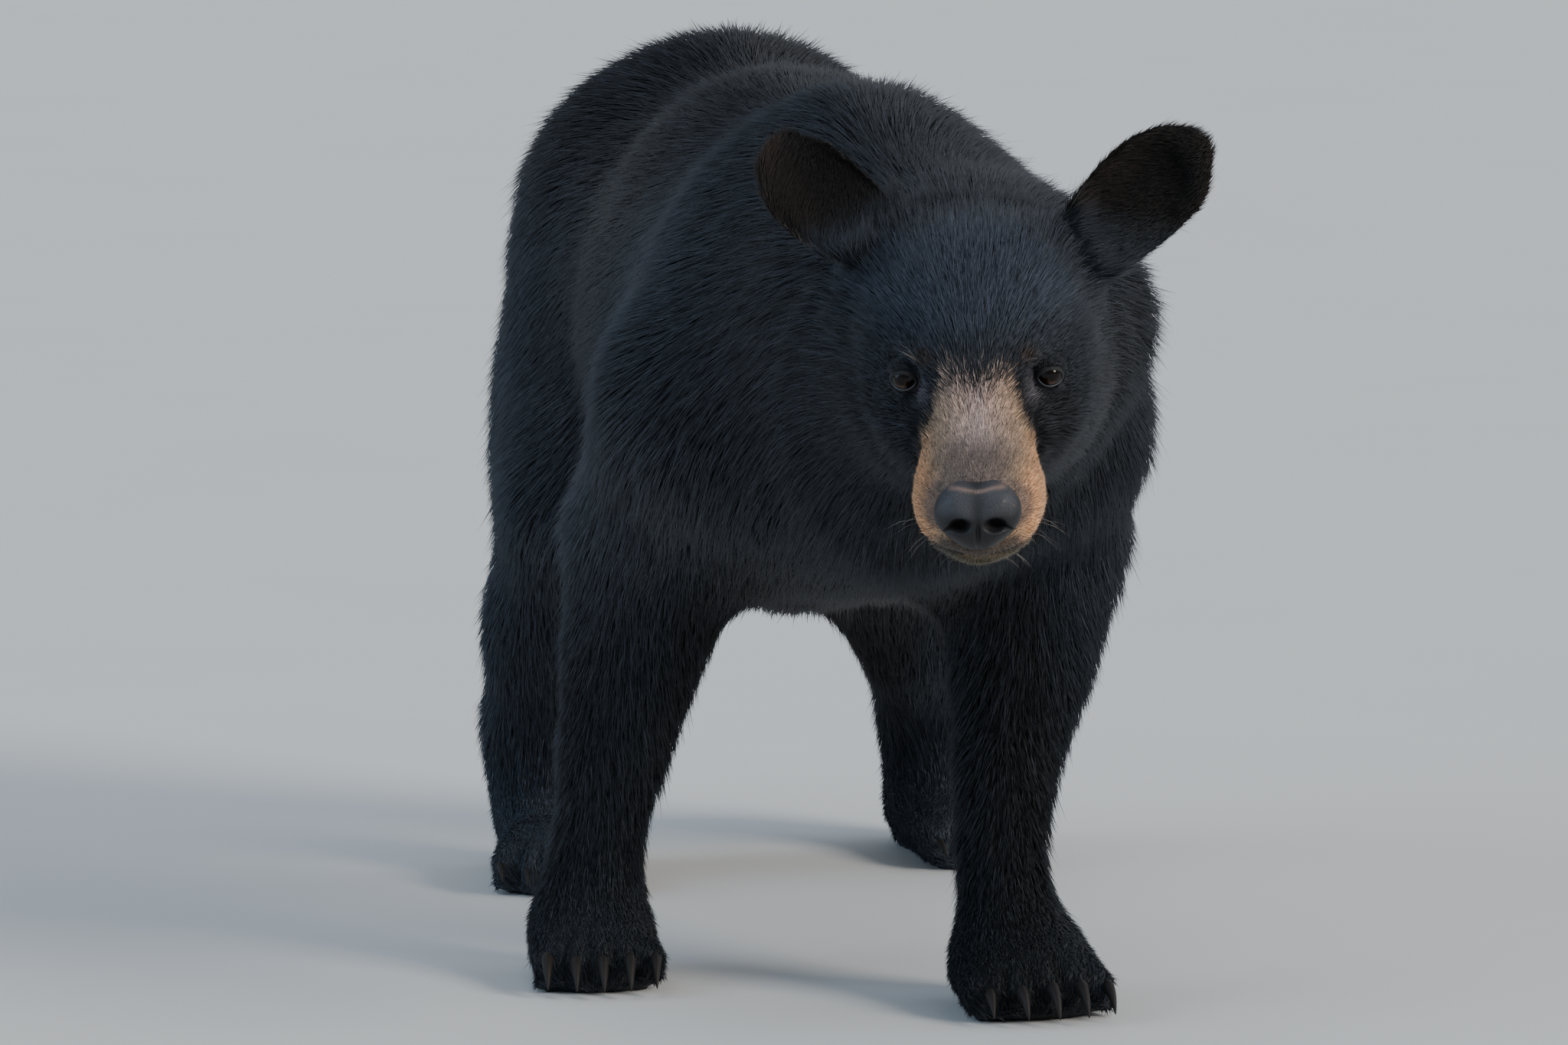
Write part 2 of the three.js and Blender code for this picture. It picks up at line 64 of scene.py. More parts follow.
# ------------------------------------------------------------------ the coat's regions
# For each solid: depth of the coat over the skin, length and width of its tufts in millimetres,
# how far the tufts gather into locks, how many tufts there are to a square centimetre, and the
# way they lie on the bear's left side, in the model's axes.
REGIONS = {
    "rump": (7.5, 25, 1.2, 0.18, 15.5, (0.05, 0.55, -0.8)),
    "trunk": (6.5, 24, 1.15, 0.18, 18, (0.05, 0.8, -0.55)),
    "chest": (7.5, 26, 1.15, 0.24, 20, (0.12, 0.62, -0.75)),
    "neck": (7.5, 24, 1.0, 0.24, 28, (0.12, 0.72, -0.62)),
    "tail": (8, 24, 1.4, 0.30, 18, (0.0, 0.35, -1.0)),
    "head": (4.5, 11, 0.68, 0.24, 108, (0.0, 1.0, 0.0)),
    "muzzle": (1.3, 4.4, 0.45, 0.10, 220, (0.0, 1.0, 0.0)),
    "lower_jaw": (2.0, 6.5, 0.55, 0.12, 120, (0.0, 1.0, 0.0)),
    "ear": (2.2, 7, 0.5, 0.16, 115, (0.0, 0.0, 1.0)),
    "upper_arm": (8.5, 27, 1.2, 0.46, 18, (0.1, 0.5, -0.85)),
    "forearm": (6, 17, 1.2, 0.42, 22, (0.0, 0.25, -1.0)),
    "forepaw": (3, 8, 0.9, 0.2, 36, (0.0, -0.85, -0.5)),
    "thigh": (9, 24, 1.4, 0.4, 14, (0.05, 0.45, -0.9)),
    "shank": (6, 18, 1.2, 0.4, 19, (0.0, 0.15, -1.0)),
    "hindpaw": (3, 8, 0.9, 0.2, 32, (0.0, -0.85, -0.5)),
}
DEPTH, LENGTH, WIDTH, LOCKS, DENSITY = range(5)
PAIRED = ("ear", "upper_arm", "forearm", "forepaw", "thigh", "shank", "hindpaw")
FLESH = [
    node
    for kind in REGIONS
    for node in ([f"{kind}_{side}" for side in SIDES] if kind in PAIRED else [kind])
]

# The coat's pieces: the solids that each covers, and the slot of its finish.
COATS = {
    "coat_rump": (["rump"], "coat"),
    "coat_trunk": (["trunk"], "coat"),
    "coat_chest": (["chest"], "coat"),
    "coat_neck": (["neck"], "coat"),
    "coat_tail": (["tail"], "coat"),
    "coat_crown": (["head"], "coat"),
    "coat_cheeks": (["head"], "coat"),
    "coat_muzzle": (["muzzle", "lower_jaw"], "muzzle_coat"),
    "coat_ears": (["ear_left", "ear_right"], "ear_coat"),
}
for side in SIDES:
    COATS[f"coat_foreleg_{side}"] = (
        [f"upper_arm_{side}", f"forearm_{side}", f"forepaw_{side}"], "coat",
    )
    COATS[f"coat_hindleg_{side}"] = (
        [f"thigh_{side}", f"shank_{side}", f"hindpaw_{side}"], "coat",
    )
MOST_TUFTS = 49000  # four faces each keep a piece under 200,000
CROWN_LEVEL = 12  # the crown's piece of coat starts here, in the head's frame

# ------------------------------------------------------------------ the head's own frame
HEAD_TURN = (19.4, -1.9, -9.6)  # nod, tilt and turn of the head in degrees
EYE_SIDE = 43.8  # millimetres from the middle of the face to an eyeball's centre
EYE_AHEAD = -2.5  # and that centre's place along the head's Y


def middle(node):
    """The middle of a solid's box."""
    low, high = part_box(node)
    return (low + high) / 2


def head_frame():
    """The matrix of the head's frame: its origin between the eyes, -Y to the nose, Z up."""
    turn = Euler([math.radians(d) for d in HEAD_TURN], "YXZ").to_matrix()
    between = (middle("eye_left") + middle("eye_right")) / 2
    origin = between - turn @ Vector((0, EYE_AHEAD * MM, 0))
    return Matrix.Translation(origin) @ turn.to_4x4()


HEAD = head_frame()
HEAD_ROTATION = np.array(HEAD.to_3x3())
HEAD_ORIGIN = np.array(HEAD.translation)


def to_head(points):
    """Points of the model in the head's frame, in millimetres."""
    return (points - HEAD_ORIGIN) @ HEAD_ROTATION / MM


def from_head(points):
    """Points of the head's frame, in millimetres, in the model."""
    return points * MM @ HEAD_ROTATION.T + HEAD_ORIGIN


def away_from(head, place):
    """How far points of the head's frame are from a place, or from its mirror image."""
    out = np.abs(head[:, 0]) - place[0]
    return np.sqrt(out**2 + (head[:, 1] - place[1]) ** 2 + (head[:, 2] - place[2]) ** 2)


# ------------------------------------------------------------------ numbers and meshes
def smooth_step(low, high, value):
    """0 below low, 1 above high, and a smooth rise between."""
    t = np.clip((value - low) / (high - low), 0, 1)
    return t * t * (3 - 2 * t)


def unit(vectors):
    """Vectors at length 1."""
    return vectors / np.maximum(np.linalg.norm(vectors, axis=-1, keepdims=True), 1e-12)


def mix(a, b, share):
    """A blend of two colours or vectors by a share for each row."""
    return a + (b - a) * np.asarray(share)[:, None]


def coordinates(mesh):
    """A mesh's vertices as an array."""
    co = np.empty(len(mesh.vertices) * 3, np.float32)
    mesh.vertices.foreach_get("co", co)
    return co.reshape(-1, 3).astype(float)


def triangles(mesh):
    """A mesh's triangles as an array of vertex numbers."""
    mesh.calc_loop_triangles()
    tri = np.empty(len(mesh.loop_triangles) * 3, np.int32)
    mesh.loop_triangles.foreach_get("vertices", tri)
    return tri.reshape(-1, 3)


def corner_normals(points, tri):
    """Smooth vertex normals of a triangle mesh."""
    face = np.cross(points[tri[:, 1]] - points[tri[:, 0]], points[tri[:, 2]] - points[tri[:, 0]])
    total = np.zeros_like(points)
    for axis in range(3):
        for corner in range(3):
            total[:, axis] += np.bincount(tri[:, corner], face[:, axis], len(points))
    return unit(total)


class Surface:
    """A triangle mesh as arrays, with the means of its neighbours."""

    def __init__(self, mesh):
        self.points = coordinates(mesh)
        self.tri = triangles(mesh)
        pairs = np.concatenate([self.tri[:, [0, 1]], self.tri[:, [1, 2]], self.tri[:, [2, 0]]])
        pairs = np.unique(np.sort(pairs, axis=1), axis=0)
        self.one, self.two = pairs[:, 0], pairs[:, 1]
        count = len(self.points)
        ends = np.bincount(self.one, minlength=count) + np.bincount(self.two, minlength=count)
        self.ends = np.maximum(ends, 1)

    def around(self, values):
        """The mean of each vertex's neighbours, for values in columns."""
        count = len(self.points)
        total = np.empty_like(values)
        for column in range(values.shape[1]):
            v = values[:, column]
            total[:, column] = np.bincount(self.one, v[self.two], count) + np.bincount(
                self.two, v[self.one], count
            )
        return total / self.ends[:, None]

    def spread(self, values, turns):
        """Values spread along the surface."""
        for _ in range(turns):
            values = 0.5 * values + 0.5 * self.around(values)
        return values

    def fair(self, share, turns, back=-0.54):
        """Smooths the surface without shrinking it, by a share for each vertex."""
        for _ in range(turns):
            for step in (0.52, back):
                self.points += step * share[:, None] * (self.around(self.points) - self.points)

    def normals(self):
        """Smooth normals of the vertices."""
        return corner_normals(self.points, self.tri)


def only(*objects):
    """Selects these objects alone, the first one active."""
    bpy.ops.object.select_all(action="DESELECT")
    for one in objects:
        one.select_set(True)
    bpy.context.view_layer.objects.active = objects[0]


def turned_out(obj):
    """Makes the faces of a closed object point outwards."""
    only(obj)
    bpy.ops.object.mode_set(mode="EDIT")
    bpy.ops.mesh.select_all(action="SELECT")
    bpy.ops.mesh.normals_make_consistent(inside=False)
    bpy.ops.object.mode_set(mode="OBJECT")


def shaped(obj, points):
    """Writes an array back to an object's vertices."""
    obj.data.vertices.foreach_set("co", points.astype(np.float32).ravel())
    obj.data.update()


def piece_from(name, points, tri):
    """A new object from arrays of vertices and triangles."""
    mesh = bpy.data.meshes.new(name)
    mesh.vertices.add(len(points))
    mesh.vertices.foreach_set("co", points.astype(np.float32).ravel())
    mesh.loops.add(tri.size)
    mesh.loops.foreach_set("vertex_index", tri.astype(np.int32).ravel())
    mesh.polygons.add(len(tri))
    mesh.polygons.foreach_set("loop_start", np.arange(0, tri.size, 3, dtype=np.int32))
    mesh.update(calc_edges=True)
    obj = bpy.data.objects.new(name, mesh)
    bpy.context.scene.collection.objects.link(obj)
    return obj


def smooth(obj):
    """Shades a whole object smooth."""
    obj.data.polygons.foreach_set("use_smooth", np.ones(len(obj.data.polygons), bool))


def paint(obj, name, values):
    """Stores a number or a colour for each vertex."""
    if values.ndim == 1:
        layer = obj.data.attributes.new(name, "FLOAT", "POINT")
        layer.data.foreach_set("value", values.astype(np.float32))
        return
    layer = obj.data.color_attributes.new(name, "FLOAT_COLOR", "POINT")
    rgba = np.ones((len(values), 4), np.float32)
    rgba[:, :3] = values
    layer.data.foreach_set("color", rgba.ravel())


def bake_map(obj, uv):
    """Gives an object its bake map, from one place for each corner."""
    layer = obj.data.uv_layers.new(name="OFBake")
    layer.uv.foreach_set("vector", uv.astype(np.float32).ravel())


def finished(obj, material, replaced=()):
    """Gives a piece its finish and hangs it on the model."""
    obj.data.materials.clear()
    obj.data.materials.append(material)
    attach(obj, "root")
    if replaced:
        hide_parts(*replaced)


# ------------------------------------------------------------------ markings
BLACK = np.array((0.0142, 0.0176, 0.0226))
BROWN_BLACK = np.array((0.024, 0.019, 0.018))
BROW = np.array((0.060, 0.034, 0.020))
TAN = np.array((0.52, 0.35, 0.215))
PALE = np.array((0.69, 0.52, 0.46))
ORANGE = np.array((0.86, 0.46, 0.22))
SLATE = np.array((0.110, 0.092, 0.098))
LIP = np.array((0.040, 0.034, 0.034))
# tan chin hair; its strong yellow is partly a painted reflection of light from below
CHIN_TAN_AND_REFLECTION = np.array((0.10, 0.078, 0.026))
INNER_THIGH = np.array((0.075, 0.045, 0.038))
EAR_BLACK = np.array((0.0058, 0.0051, 0.0052))
TEAR = np.array((0.17, 0.155, 0.18))
FROST = np.array((0.105, 0.115, 0.145))
EAR_BROWN = np.array((0.024, 0.0165, 0.013))
PAINTED_SKY_TINT = np.array((-0.06, 0.03, 0.16))  # painted blue skylight: how far the crown's hair is drawn bluer
HEAD_SPAN = 190  # the markings of the head reach this far, in millimetres


def body_colour(points, y, z, blur, in_head):
    """Black hair, browner on the back, with painted light and shade: a lighter, bluer crown, lighter
    shoulders, hindquarters and lower body, and a darker back top, underside of the head and belly.
    """
    colour = np.repeat(BLACK[None], len(points), 0)
    wide, along, high = np.abs(points[:, 0]), points[:, 1], points[:, 2]
    # Painted shade: the top of the back is drawn darker, besides its real browner hair.
    top = smooth_step(0.45, 0.57, high) * smooth_step(-0.2, 0.1, along)
    colour = mix(colour, BROWN_BLACK, 0.45 * top)
    # Painted light: the crown is drawn lighter and bluer, as if lit by a blue sky.
    crown = smooth_step(5, 40, z) * smooth_step(95, 30, y) * in_head
    # Painted shade: the hair under the head is drawn darker.
    under = smooth_step(10, -30, z) * smooth_step(120, 40, y) * in_head
    # Painted light: the lower body and legs are drawn lighter.
    low = smooth_step(0.42, 0.30, high)
    # Painted shade: the chest and belly underneath, between the legs, are drawn darker.
    painted_belly_shade = smooth_step(0.36, 0.26, high) * smooth_step(0.14, 0.10, wide)
    # Painted light: the shoulders and hindquarters are drawn lighter at the sides.
    aside = smooth_step(0.06, 0.12, wide) * (1 - in_head)
    shoulder = np.exp(-(((along + 0.12) / 0.14) ** 2)) * smooth_step(0.2, 0.3, high)
    painted_hind_light = smooth_step(0.12, 0.38, along) * smooth_step(0.56, 0.45, high)
    shade = 1 + 1.25 * crown - 0.72 * under + 0.4 * low * (1 - in_head) - 0.6 * top
    shade += aside * (1.5 * shoulder + 2.2 * painted_hind_light)
    colour = colour * (shade * (1 - 0.6 * painted_belly_shade * (1 - in_head)))[:, None]
    colour = colour * (1 + crown[:, None] * PAINTED_SKY_TINT)
    frost = crown * smooth_step(0.8, 3.6, np.abs(blur)) * 0.5
    colour = mix(colour, FROST, frost)
    inner = np.exp(
        -((points[:, 0] / 0.075) ** 2) - (((along - 0.30) / 0.16) ** 2)
        - (((high - 0.215) / 0.05) ** 2)
    )
    return mix(colour, INNER_THIGH, np.clip(inner, 0, 1) * 0.6)


def ear_colour(colour, points, x, z, in_head):
    """Black ears, with brown hair on the inner edge and at the tip."""
    ear = smooth_step(74, 92, z + 0.25 * np.abs(x)) * in_head
    colour = mix(colour, EAR_BLACK, ear)
    for one in EARS.values():
        over, along = one.places(points)
        streak = np.exp(-(((over - 0.62) / 0.22) ** 2)) * smooth_step(0.0, 0.3, along)
        tip = smooth_step(0.80, 1.0, np.hypot(over, (along - 0.5) / 0.5))
        brown = np.clip(streak * 0.45 + tip * 0.6, 0, 1) * smooth_step(-0.1, 0.1, along)
        near = np.linalg.norm(points - one.middle, axis=1) < 0.75 * one.length
        colour = mix(colour, EAR_BROWN, brown * near * ear)
    return colour


def eye_colour(colour, across, ahead, z, in_head):
    """Brown brows, pale hair at the inner corners of the eyes, and painted shade on the hair over the
    lids.
    """
    brow = np.exp(-(((across - 30) / 5) ** 2) - ((z - 15) / 4) ** 2) * (ahead > -15)
    colour = mix(colour, BROW, np.clip(brow, 0, 1) * 0.8)
    tear = np.exp(-(((across - 32.5) / 4) ** 2) - ((z + 7) / 9) ** 2) * (ahead > 0) * in_head
    colour = mix(colour, TEAR, np.clip(tear, 0, 1) * 0.85)
    # Painted shade: the hair over the upper lids is drawn darker.
    lid_shade = np.exp(-(((across - 45) / 11) ** 2) - ((z - 8) / 3.6) ** 2) * (ahead > -15)
    return colour * (1 - 0.6 * lid_shade * in_head)[:, None]


def muzzle_colour(x, y, z, across, ahead, blur):
    """Tan hair: pale on the bridge, orange at the sides, slate round the nose, dark at the lips."""
    below = -z
    bridge = np.exp(-((across / 18) ** 2)) * smooth_step(80, 62, ahead)
    side = smooth_step(20, 34, across)
    tan = mix(np.repeat(TAN[None], len(x), 0), PALE, bridge)
    tan = mix(tan, ORANGE, side * smooth_step(18, 40, below))
    over_nose = np.exp(-((across / 25) ** 4)) * smooth_step(46, 80, ahead) * (z > -58)
    beside = smooth_step(1.34, 1.10, np.hypot(x / 27.5, (z + 49) / 19.5))
    beside *= smooth_step(-66, -54, z)
    over_nose = np.maximum(over_nose, 0.85 * beside * (ahead > 60))
    tan = mix(tan, SLATE, np.clip(over_nose + 0.06 * blur, 0, 1) * 0.85)
    spots = np.sin(0.55 * x + 0.3 * z) * np.sin(0.42 * z + 0.2 * y) + np.sin(1.1 * x - 0.7 * z)
    tan = tan * np.clip(1 + 0.11 * spots + 0.19 * blur, 0.15, 2)[:, None]
    lip = smooth_step(62, 67, below) * smooth_step(30, 20, across) * smooth_step(74, 86, ahead)
    tan = mix(tan, LIP, np.clip(lip * smooth_step(79.5, 77, below), 0, 1) * 0.85)
    mouth = np.exp(-(((below - 77 + 0.1 * (ahead - 95)) / 2.6) ** 2)) * smooth_step(26, 40, ahead)
    tan = mix(tan, LIP, mouth * smooth_step(6, 16, across) * 0.9)
    # Tan hair on the chin, its yellow partly a painted reflection of light from below.
    return mix(tan, CHIN_TAN_AND_REFLECTION, smooth_step(77, 80, below) * smooth_step(60, 80, ahead))


def muzzle_share(x, z, across, ahead, blur, in_head):
    """Where the pale muzzle is: back from the nose to a ragged edge between the eyes."""
    below = -z
    ragged = 1.6 * np.sin(x * 1.3 + 1.0) + 1.3 * np.sin(x * 2.9 + 0.4 * z) + np.sin(x * 5.3 + 2.0)
    edge = 0.5 * (ahead - 36) - (across - 26 - 0.27 * below) + 0.5 * ragged + 0.6 * blur
    share = smooth_step(-4, 4, edge)
    share *= smooth_step(-9, 7, below + 0.28 * across + ragged + 3.0 * blur)
    return share * smooth_step(108, 92, below) * smooth_step(12, 34, ahead) * in_head


def markings(points, blur=0.0):
    """The coat's colours at points of the model. blur moves each point's place in the pattern."""
    x, y, z = to_head(points).T
    x = x + blur * 0.5
    across, ahead = np.abs(x), -y + blur
    in_head = np.hypot(np.hypot(x, y - 30), z) < HEAD_SPAN
    colour = body_colour(points, y, z, blur, in_head)
    colour = ear_colour(colour, points, x, z, in_head)
    colour = eye_colour(colour, across, ahead, z, in_head)
    tan = muzzle_colour(x, y, z, across, ahead, blur)
    return mix(colour, tan, muzzle_share(x, z, across, ahead, blur, in_head))


# ------------------------------------------------------------------ the skin
VOXEL = 6.4 * MM
HEAD_REACH = 165 * MM  # how far the finer mesh goes from the head's middle
FACE_MIDDLE = np.array((0, -45, -30.0))
FACE_REACH = 82
DRAPE = 6 * MM  # how far outside the flesh a vertex looks for its outline


class Flesh:
    """All the solids of flesh as one set of triangles, and whose each one is."""

    def __init__(self):
        points, corners, owners, start = [], [], [], 0
        for number, node in enumerate(FLESH):
            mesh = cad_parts[node].data
            co, tri = coordinates(mesh), triangles(mesh)
            points.append(co)
            corners.append(tri + start)
            owners.append(np.full(len(tri), number))
            start += len(co)
        self.owners = np.concatenate(owners)
        self.tree = BVHTree.FromPolygons(
            np.concatenate(points).tolist(), np.concatenate(corners).tolist()
        )

    def draped(self, points, normals):
        """The points laid on the flesh's outside, free of the cuts between its solids."""
        laid = points.copy()
        for number, (point, normal) in enumerate(zip(points, normals)):
            way = Vector(normal)
            hit, facing, _, _ = self.tree.ray_cast(Vector(point) + way * DRAPE, -way, 2 * DRAPE)
            if hit is not None and facing.dot(way) > 0.35:
                laid[number] = hit
        return laid

    def owner(self, points):
        """For each point, the number of the solid that it is nearest to."""
        return self.owners[[self.tree.find_nearest(Vector(p))[2] for p in points]]

    def drape(self, surface, share):
        """Lays a surface on the flesh's outside, by a share for each vertex."""
        normals = unit(surface.spread(surface.normals(), 3))
        moved = surface.spread(self.draped(surface.points, normals) - surface.points, 1)
        surface.points += moved * share[:, None]


def joined_flesh():
    """One closed mesh round all the solids of flesh."""
    copies = []
    for node in [*FLESH, "nose", "eye_left", "eye_right"]:
        copy = bpy.data.objects.new(f"copy_{node}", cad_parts[node].data.copy())
        bpy.context.scene.collection.objects.link(copy)
        copies.append(copy)
    only(*copies)
    bpy.ops.object.join()
    skin = bpy.context.active_object
    skin.name = skin.data.name = "skin"
    skin.data.remesh_voxel_size = VOXEL
    bpy.ops.object.voxel_remesh()
    return skin


def refine(obj, wanted):
    """Splits the edges whose two ends are wanted."""
    bm = bmesh.new()
    bm.from_mesh(obj.data)
    bmesh.ops.triangulate(bm, faces=bm.faces[:])
    points = np.array([v.co for v in bm.verts])
    inside = wanted(points)
    bm.verts.ensure_lookup_table()
    edges = [e for e in bm.edges if inside[e.verts[0].index] and inside[e.verts[1].index]]
    bmesh.ops.subdivide_edges(bm, edges=edges, cuts=1, smooth=0.0)
    bmesh.ops.triangulate(bm, faces=bm.faces[:])
    bm.to_mesh(obj.data)
    bm.free()


def kind_of(node):
    """The region's name of a solid."""
    return node.rsplit("_", 1)[0] if node.endswith(SIDES) else node


class Ear:
    """An ear's own frame: across towards the middle of the head, to the front, and to the tip."""

    def __init__(self, node):
        co = coordinates(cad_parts[node].data)
        far = np.linalg.norm(co - HEAD_ORIGIN, axis=1)
        order = np.argsort(far)
        root, tip = co[order[:6]].mean(0), co[order[-6:]].mean(0)
        self.axis = unit(tip - root)
        self.length = np.linalg.norm(tip - root)
        spread = (co - co.mean(0)) - ((co - co.mean(0)) @ self.axis)[:, None] * self.axis
        _, _, ways = np.linalg.svd(spread, full_matrices=False)
        self.front = ways[1] * np.sign(-(ways[1] @ HEAD_ROTATION[:, 1]))
        self.inward = unit(np.cross(self.axis, self.front))
        if self.inward @ (HEAD_ORIGIN - co.mean(0)) < 0:
            self.inward = -self.inward
        self.middle = co.mean(0)
        self.half = np.abs((co - self.middle) @ self.inward).max()
        self.root = (root - self.middle) @ self.axis

    def places(self, points):
        """Places across (-1 to 1, 1 at the inner edge) and along (0 to 1), for each point."""
        away = points - self.middle
        return away @ self.inward / self.half, (away @ self.axis - self.root) / self.length


EARS = {f"ear_{side}": Ear(f"ear_{side}") for side in SIDES}
NOSE_FRONT = np.array((0, -124, -52.0))  # the hair of the head runs back from here


def lie_of(points, labels):
    """The way the hair lies at each vertex, before it is laid onto the skin."""
    lie = np.zeros_like(points)
    for number, node in enumerate(FLESH):
        here = labels == number
        way = np.array(REGIONS[kind_of(node)][-1], float)
        side = np.sign(points[here, 0] - middle("trunk").x)
        lie[here] = way
        lie[here, 0] = way[0] * side
        if node in EARS:
            ear = EARS[node]
            across, _ = ear.places(points[here])
            lie[here] = ear.axis + 0.9 * across[:, None] * ear.inward
        if node in ("head", "muzzle", "lower_jaw"):
            head = to_head(points[here])
            back = unit(head - NOSE_FRONT)
            sweep = smooth_step(-25, 70, head[:, 1]) * smooth_step(70, 15, head[:, 2])
            back += sweep[:, None] * (0, 0.5, -0.8)
            lie[here] = unit(back) @ HEAD_ROTATION.T
    return unit(lie)


BACK_OF_HEAD = (1.0, 1.1, 0.5, 0.6, -0.62)  # the coat's numbers grow so from the face back


class Skin:
    """The skin's surface with what the coat needs to know at each vertex."""

    def __init__(self, obj, flesh):
        self.obj = obj
        surface = self.surface = Surface(obj.data)
        self.labels = flesh.owner(surface.points)
        table = np.array([REGIONS[kind_of(node)][:5] for node in FLESH], float)
        self.values = surface.spread(table[self.labels], 36)
        self.values[:, DENSITY] = table[self.labels, DENSITY]
        self.values[:, DENSITY] = surface.spread(self.values[:, DENSITY : DENSITY + 1], 12)[:, 0]
        # Towards the neck the hair of the head grows into the longer hair there.
        back = smooth_step(5, 95, to_head(surface.points)[:, 1])
        back = back * np.isin(self.labels, [FLESH.index("head")])
        back = surface.spread(back[:, None], 20)
        self.values *= 1 + back * np.array(BACK_OF_HEAD)
        self.lie = surface.spread(lie_of(surface.points, self.labels), 90)


EYE_OPEN = (8.3, 6.5)  # half the width and height of the opening in the skin
EYE_OUT = 45.0  # from the middle of the face to the middle of the opening
SOCKET = 11.1  # the skin wraps the eyeball at this distance from its centre
EYE_PLACE = (EYE_SIDE, -8, 0)
NOSE_ROOM = (25.2, 18.8)  # half the width and height of the nose pad's place in the skin
NOSE_LEVEL = -50
NOSE_BACK = -62  # the pad's place ends here


def nose_reach(x, z):
    """How far out from the middle of the nose pad a place is: 1 at the pad's edge."""
    out, up = np.abs(x / NOSE_ROOM[0]), np.abs((z - NOSE_LEVEL) / NOSE_ROOM[1])
    return (out**2.4 + up**2.4) ** (1 / 2.4)


def in_nose(head):
    """Which points of the head's frame the nose pad covers."""
    x, y, z = head.T
    return (nose_reach(x, z) < 1.0) & (y < NOSE_BACK)


def sculpt(skin):
    """Draws the skin in by the coat's depth and shapes the folds of the face."""
    surface = skin.surface
    points = surface.points
    head = to_head(points)
    x, y, z = head.T
    across = np.abs(x)
    depth = skin.values[:, DEPTH].copy()
    # The coat thins out round the eyes and the nose, and the soles rest on the floor.
    depth *= 0.35 + 0.65 * smooth_step(8, 34, away_from(head, EYE_PLACE))
    depth *= 0.4 + 0.6 * smooth_step(24, 40, away_from(head, (0, -101, -48)))
    sole = smooth_step(2 * MM, 9 * MM, points[:, 2])
    normal = surface.normals()
    points -= normal * (depth * MM * sole)[:, None]
    in_head = np.linalg.norm(head - (0, 30, -10), axis=1) < 180

    move = np.zeros(len(points))
    ring = np.hypot((across - EYE_OUT) / EYE_OPEN[0], z / EYE_OPEN[1])
    pit = smooth_step(1.0, 0.72, ring) * (y < 10)
    # A groove for the closed mouth, from under the nose back to the cheeks.
    line = -77 + 0.10 * (y + 95) * (y > -95)
    mouth = np.exp(-(((z - line) / 2.2) ** 2)) * smooth_step(-32, -52, y)
    move -= 2.6 * mouth * smooth_step(2.0, 9.0, across)
    # Brows, a crease over each lid, the stop between the eyes and a fold under each eye.
    move += 2.6 * np.exp(-(((across - 40) / 15) ** 2) - ((z - 15) / 6.5) ** 2) * (y < 15)
    move -= 1.2 * np.exp(-(((across - 43) / 9) ** 2) - ((z - 9.5) / 2.2) ** 2) * (y < 5)
    move -= 1.6 * np.exp(-((x / 9) ** 2) - ((z - 4) / 20) ** 2) * (y < -10)
    move -= 1.3 * np.exp(-(((across - 31) / 3) ** 2) - ((z + 12) / 9) ** 2) * (y < -5)
    # The face ends in a shallow valley, behind which the ruff of the neck begins.
    rim = 82 - 0.0035 * (z - 10) ** 2 * (z < 10)
    valley = np.exp(-(((across - rim) / 8) ** 2)) * smooth_step(62, 40, z) * smooth_step(-95, -60, z)
    move -= 2.2 * valley * smooth_step(-60, -20, y)
    move *= in_head
    points += normal * (move * MM)[:, None]
    head = to_head(points)
    for sign in (-1, 1):
        ball = np.array((sign * EYE_SIDE, EYE_AHEAD, 0))
        away = head - ball
        far = np.linalg.norm(away, axis=1)
        inside = (far < SOCKET) & (away[:, 1] < 3)
        out = away[inside] / np.maximum(far[inside], 1e-6)[:, None] * SOCKET
        points[inside] = from_head(out + ball)
    # Room for the nose pad, and a pit behind each eyeball.
    pad = smooth_step(1.02, 0.72, nose_reach(x, z)) * smooth_step(-70, -85, y)
    inward = np.array((0, 1.0, 0)) @ HEAD_ROTATION.T
    points += ((pit * 15 + pad * 24) * in_head * MM)[:, None] * inward
    # Nothing goes under the floor.
    points[:, 2] = np.maximum(points[:, 2], 0.0)
    for node, ear in EARS.items():
        hollow_ear(skin, FLESH.index(node), ear, normal)
    for paw in ("forepaw", "hindpaw"):
        for side in SIDES:
            part_toes(points, normal, paw, side)
    shaped(skin.obj, points)


def claw_root(node):
    """Where a claw leaves the toe, and the way to its tip."""
    co = coordinates(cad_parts[node].data)
    paw = np.array(middle(node.replace("claw_", "").rsplit("_", 1)[0]))
    order = np.argsort(np.linalg.norm(co - paw, axis=1))
    tip, root = co[order[-1]], co[order[:8]].mean(0)
    return root, tip - root


TOE_LENGTH = 30 * MM
TOE_PARTING = 3.4 * MM  # depth of the folds between the toes


def part_toes(points, normal, paw, side):
    """Presses folds between the toes of a paw, from its front back over the top."""
    roots = [claw_root(f"claw_{paw}_{side}_{toe}") for toe in TOES]
    for (one, way), (two, _) in zip(roots, roots[1:]):
        start = (one + two) / 2
        across = unit((two - one) * (1, 1, 0))
        back = unit(np.array((across[1], -across[0], 0)))
        if back @ way > 0:
            back = -back
        away = points - start
        reach = away @ back
        fold = np.exp(-((away @ across / (2.6 * MM)) ** 2))
        fold *= smooth_step(TOE_LENGTH, 0.1 * TOE_LENGTH, reach) * (reach > -12 * MM)
        fold *= (np.linalg.norm(away[:, :2], axis=1) < 0.06) * (points[:, 2] < 0.06)
        fold *= smooth_step(2 * MM, 7 * MM, points[:, 2])
        points -= normal * (fold * TOE_PARTING)[:, None]


EAR_HOLLOW = 5.5  # depth of the ears' hollow in millimetres


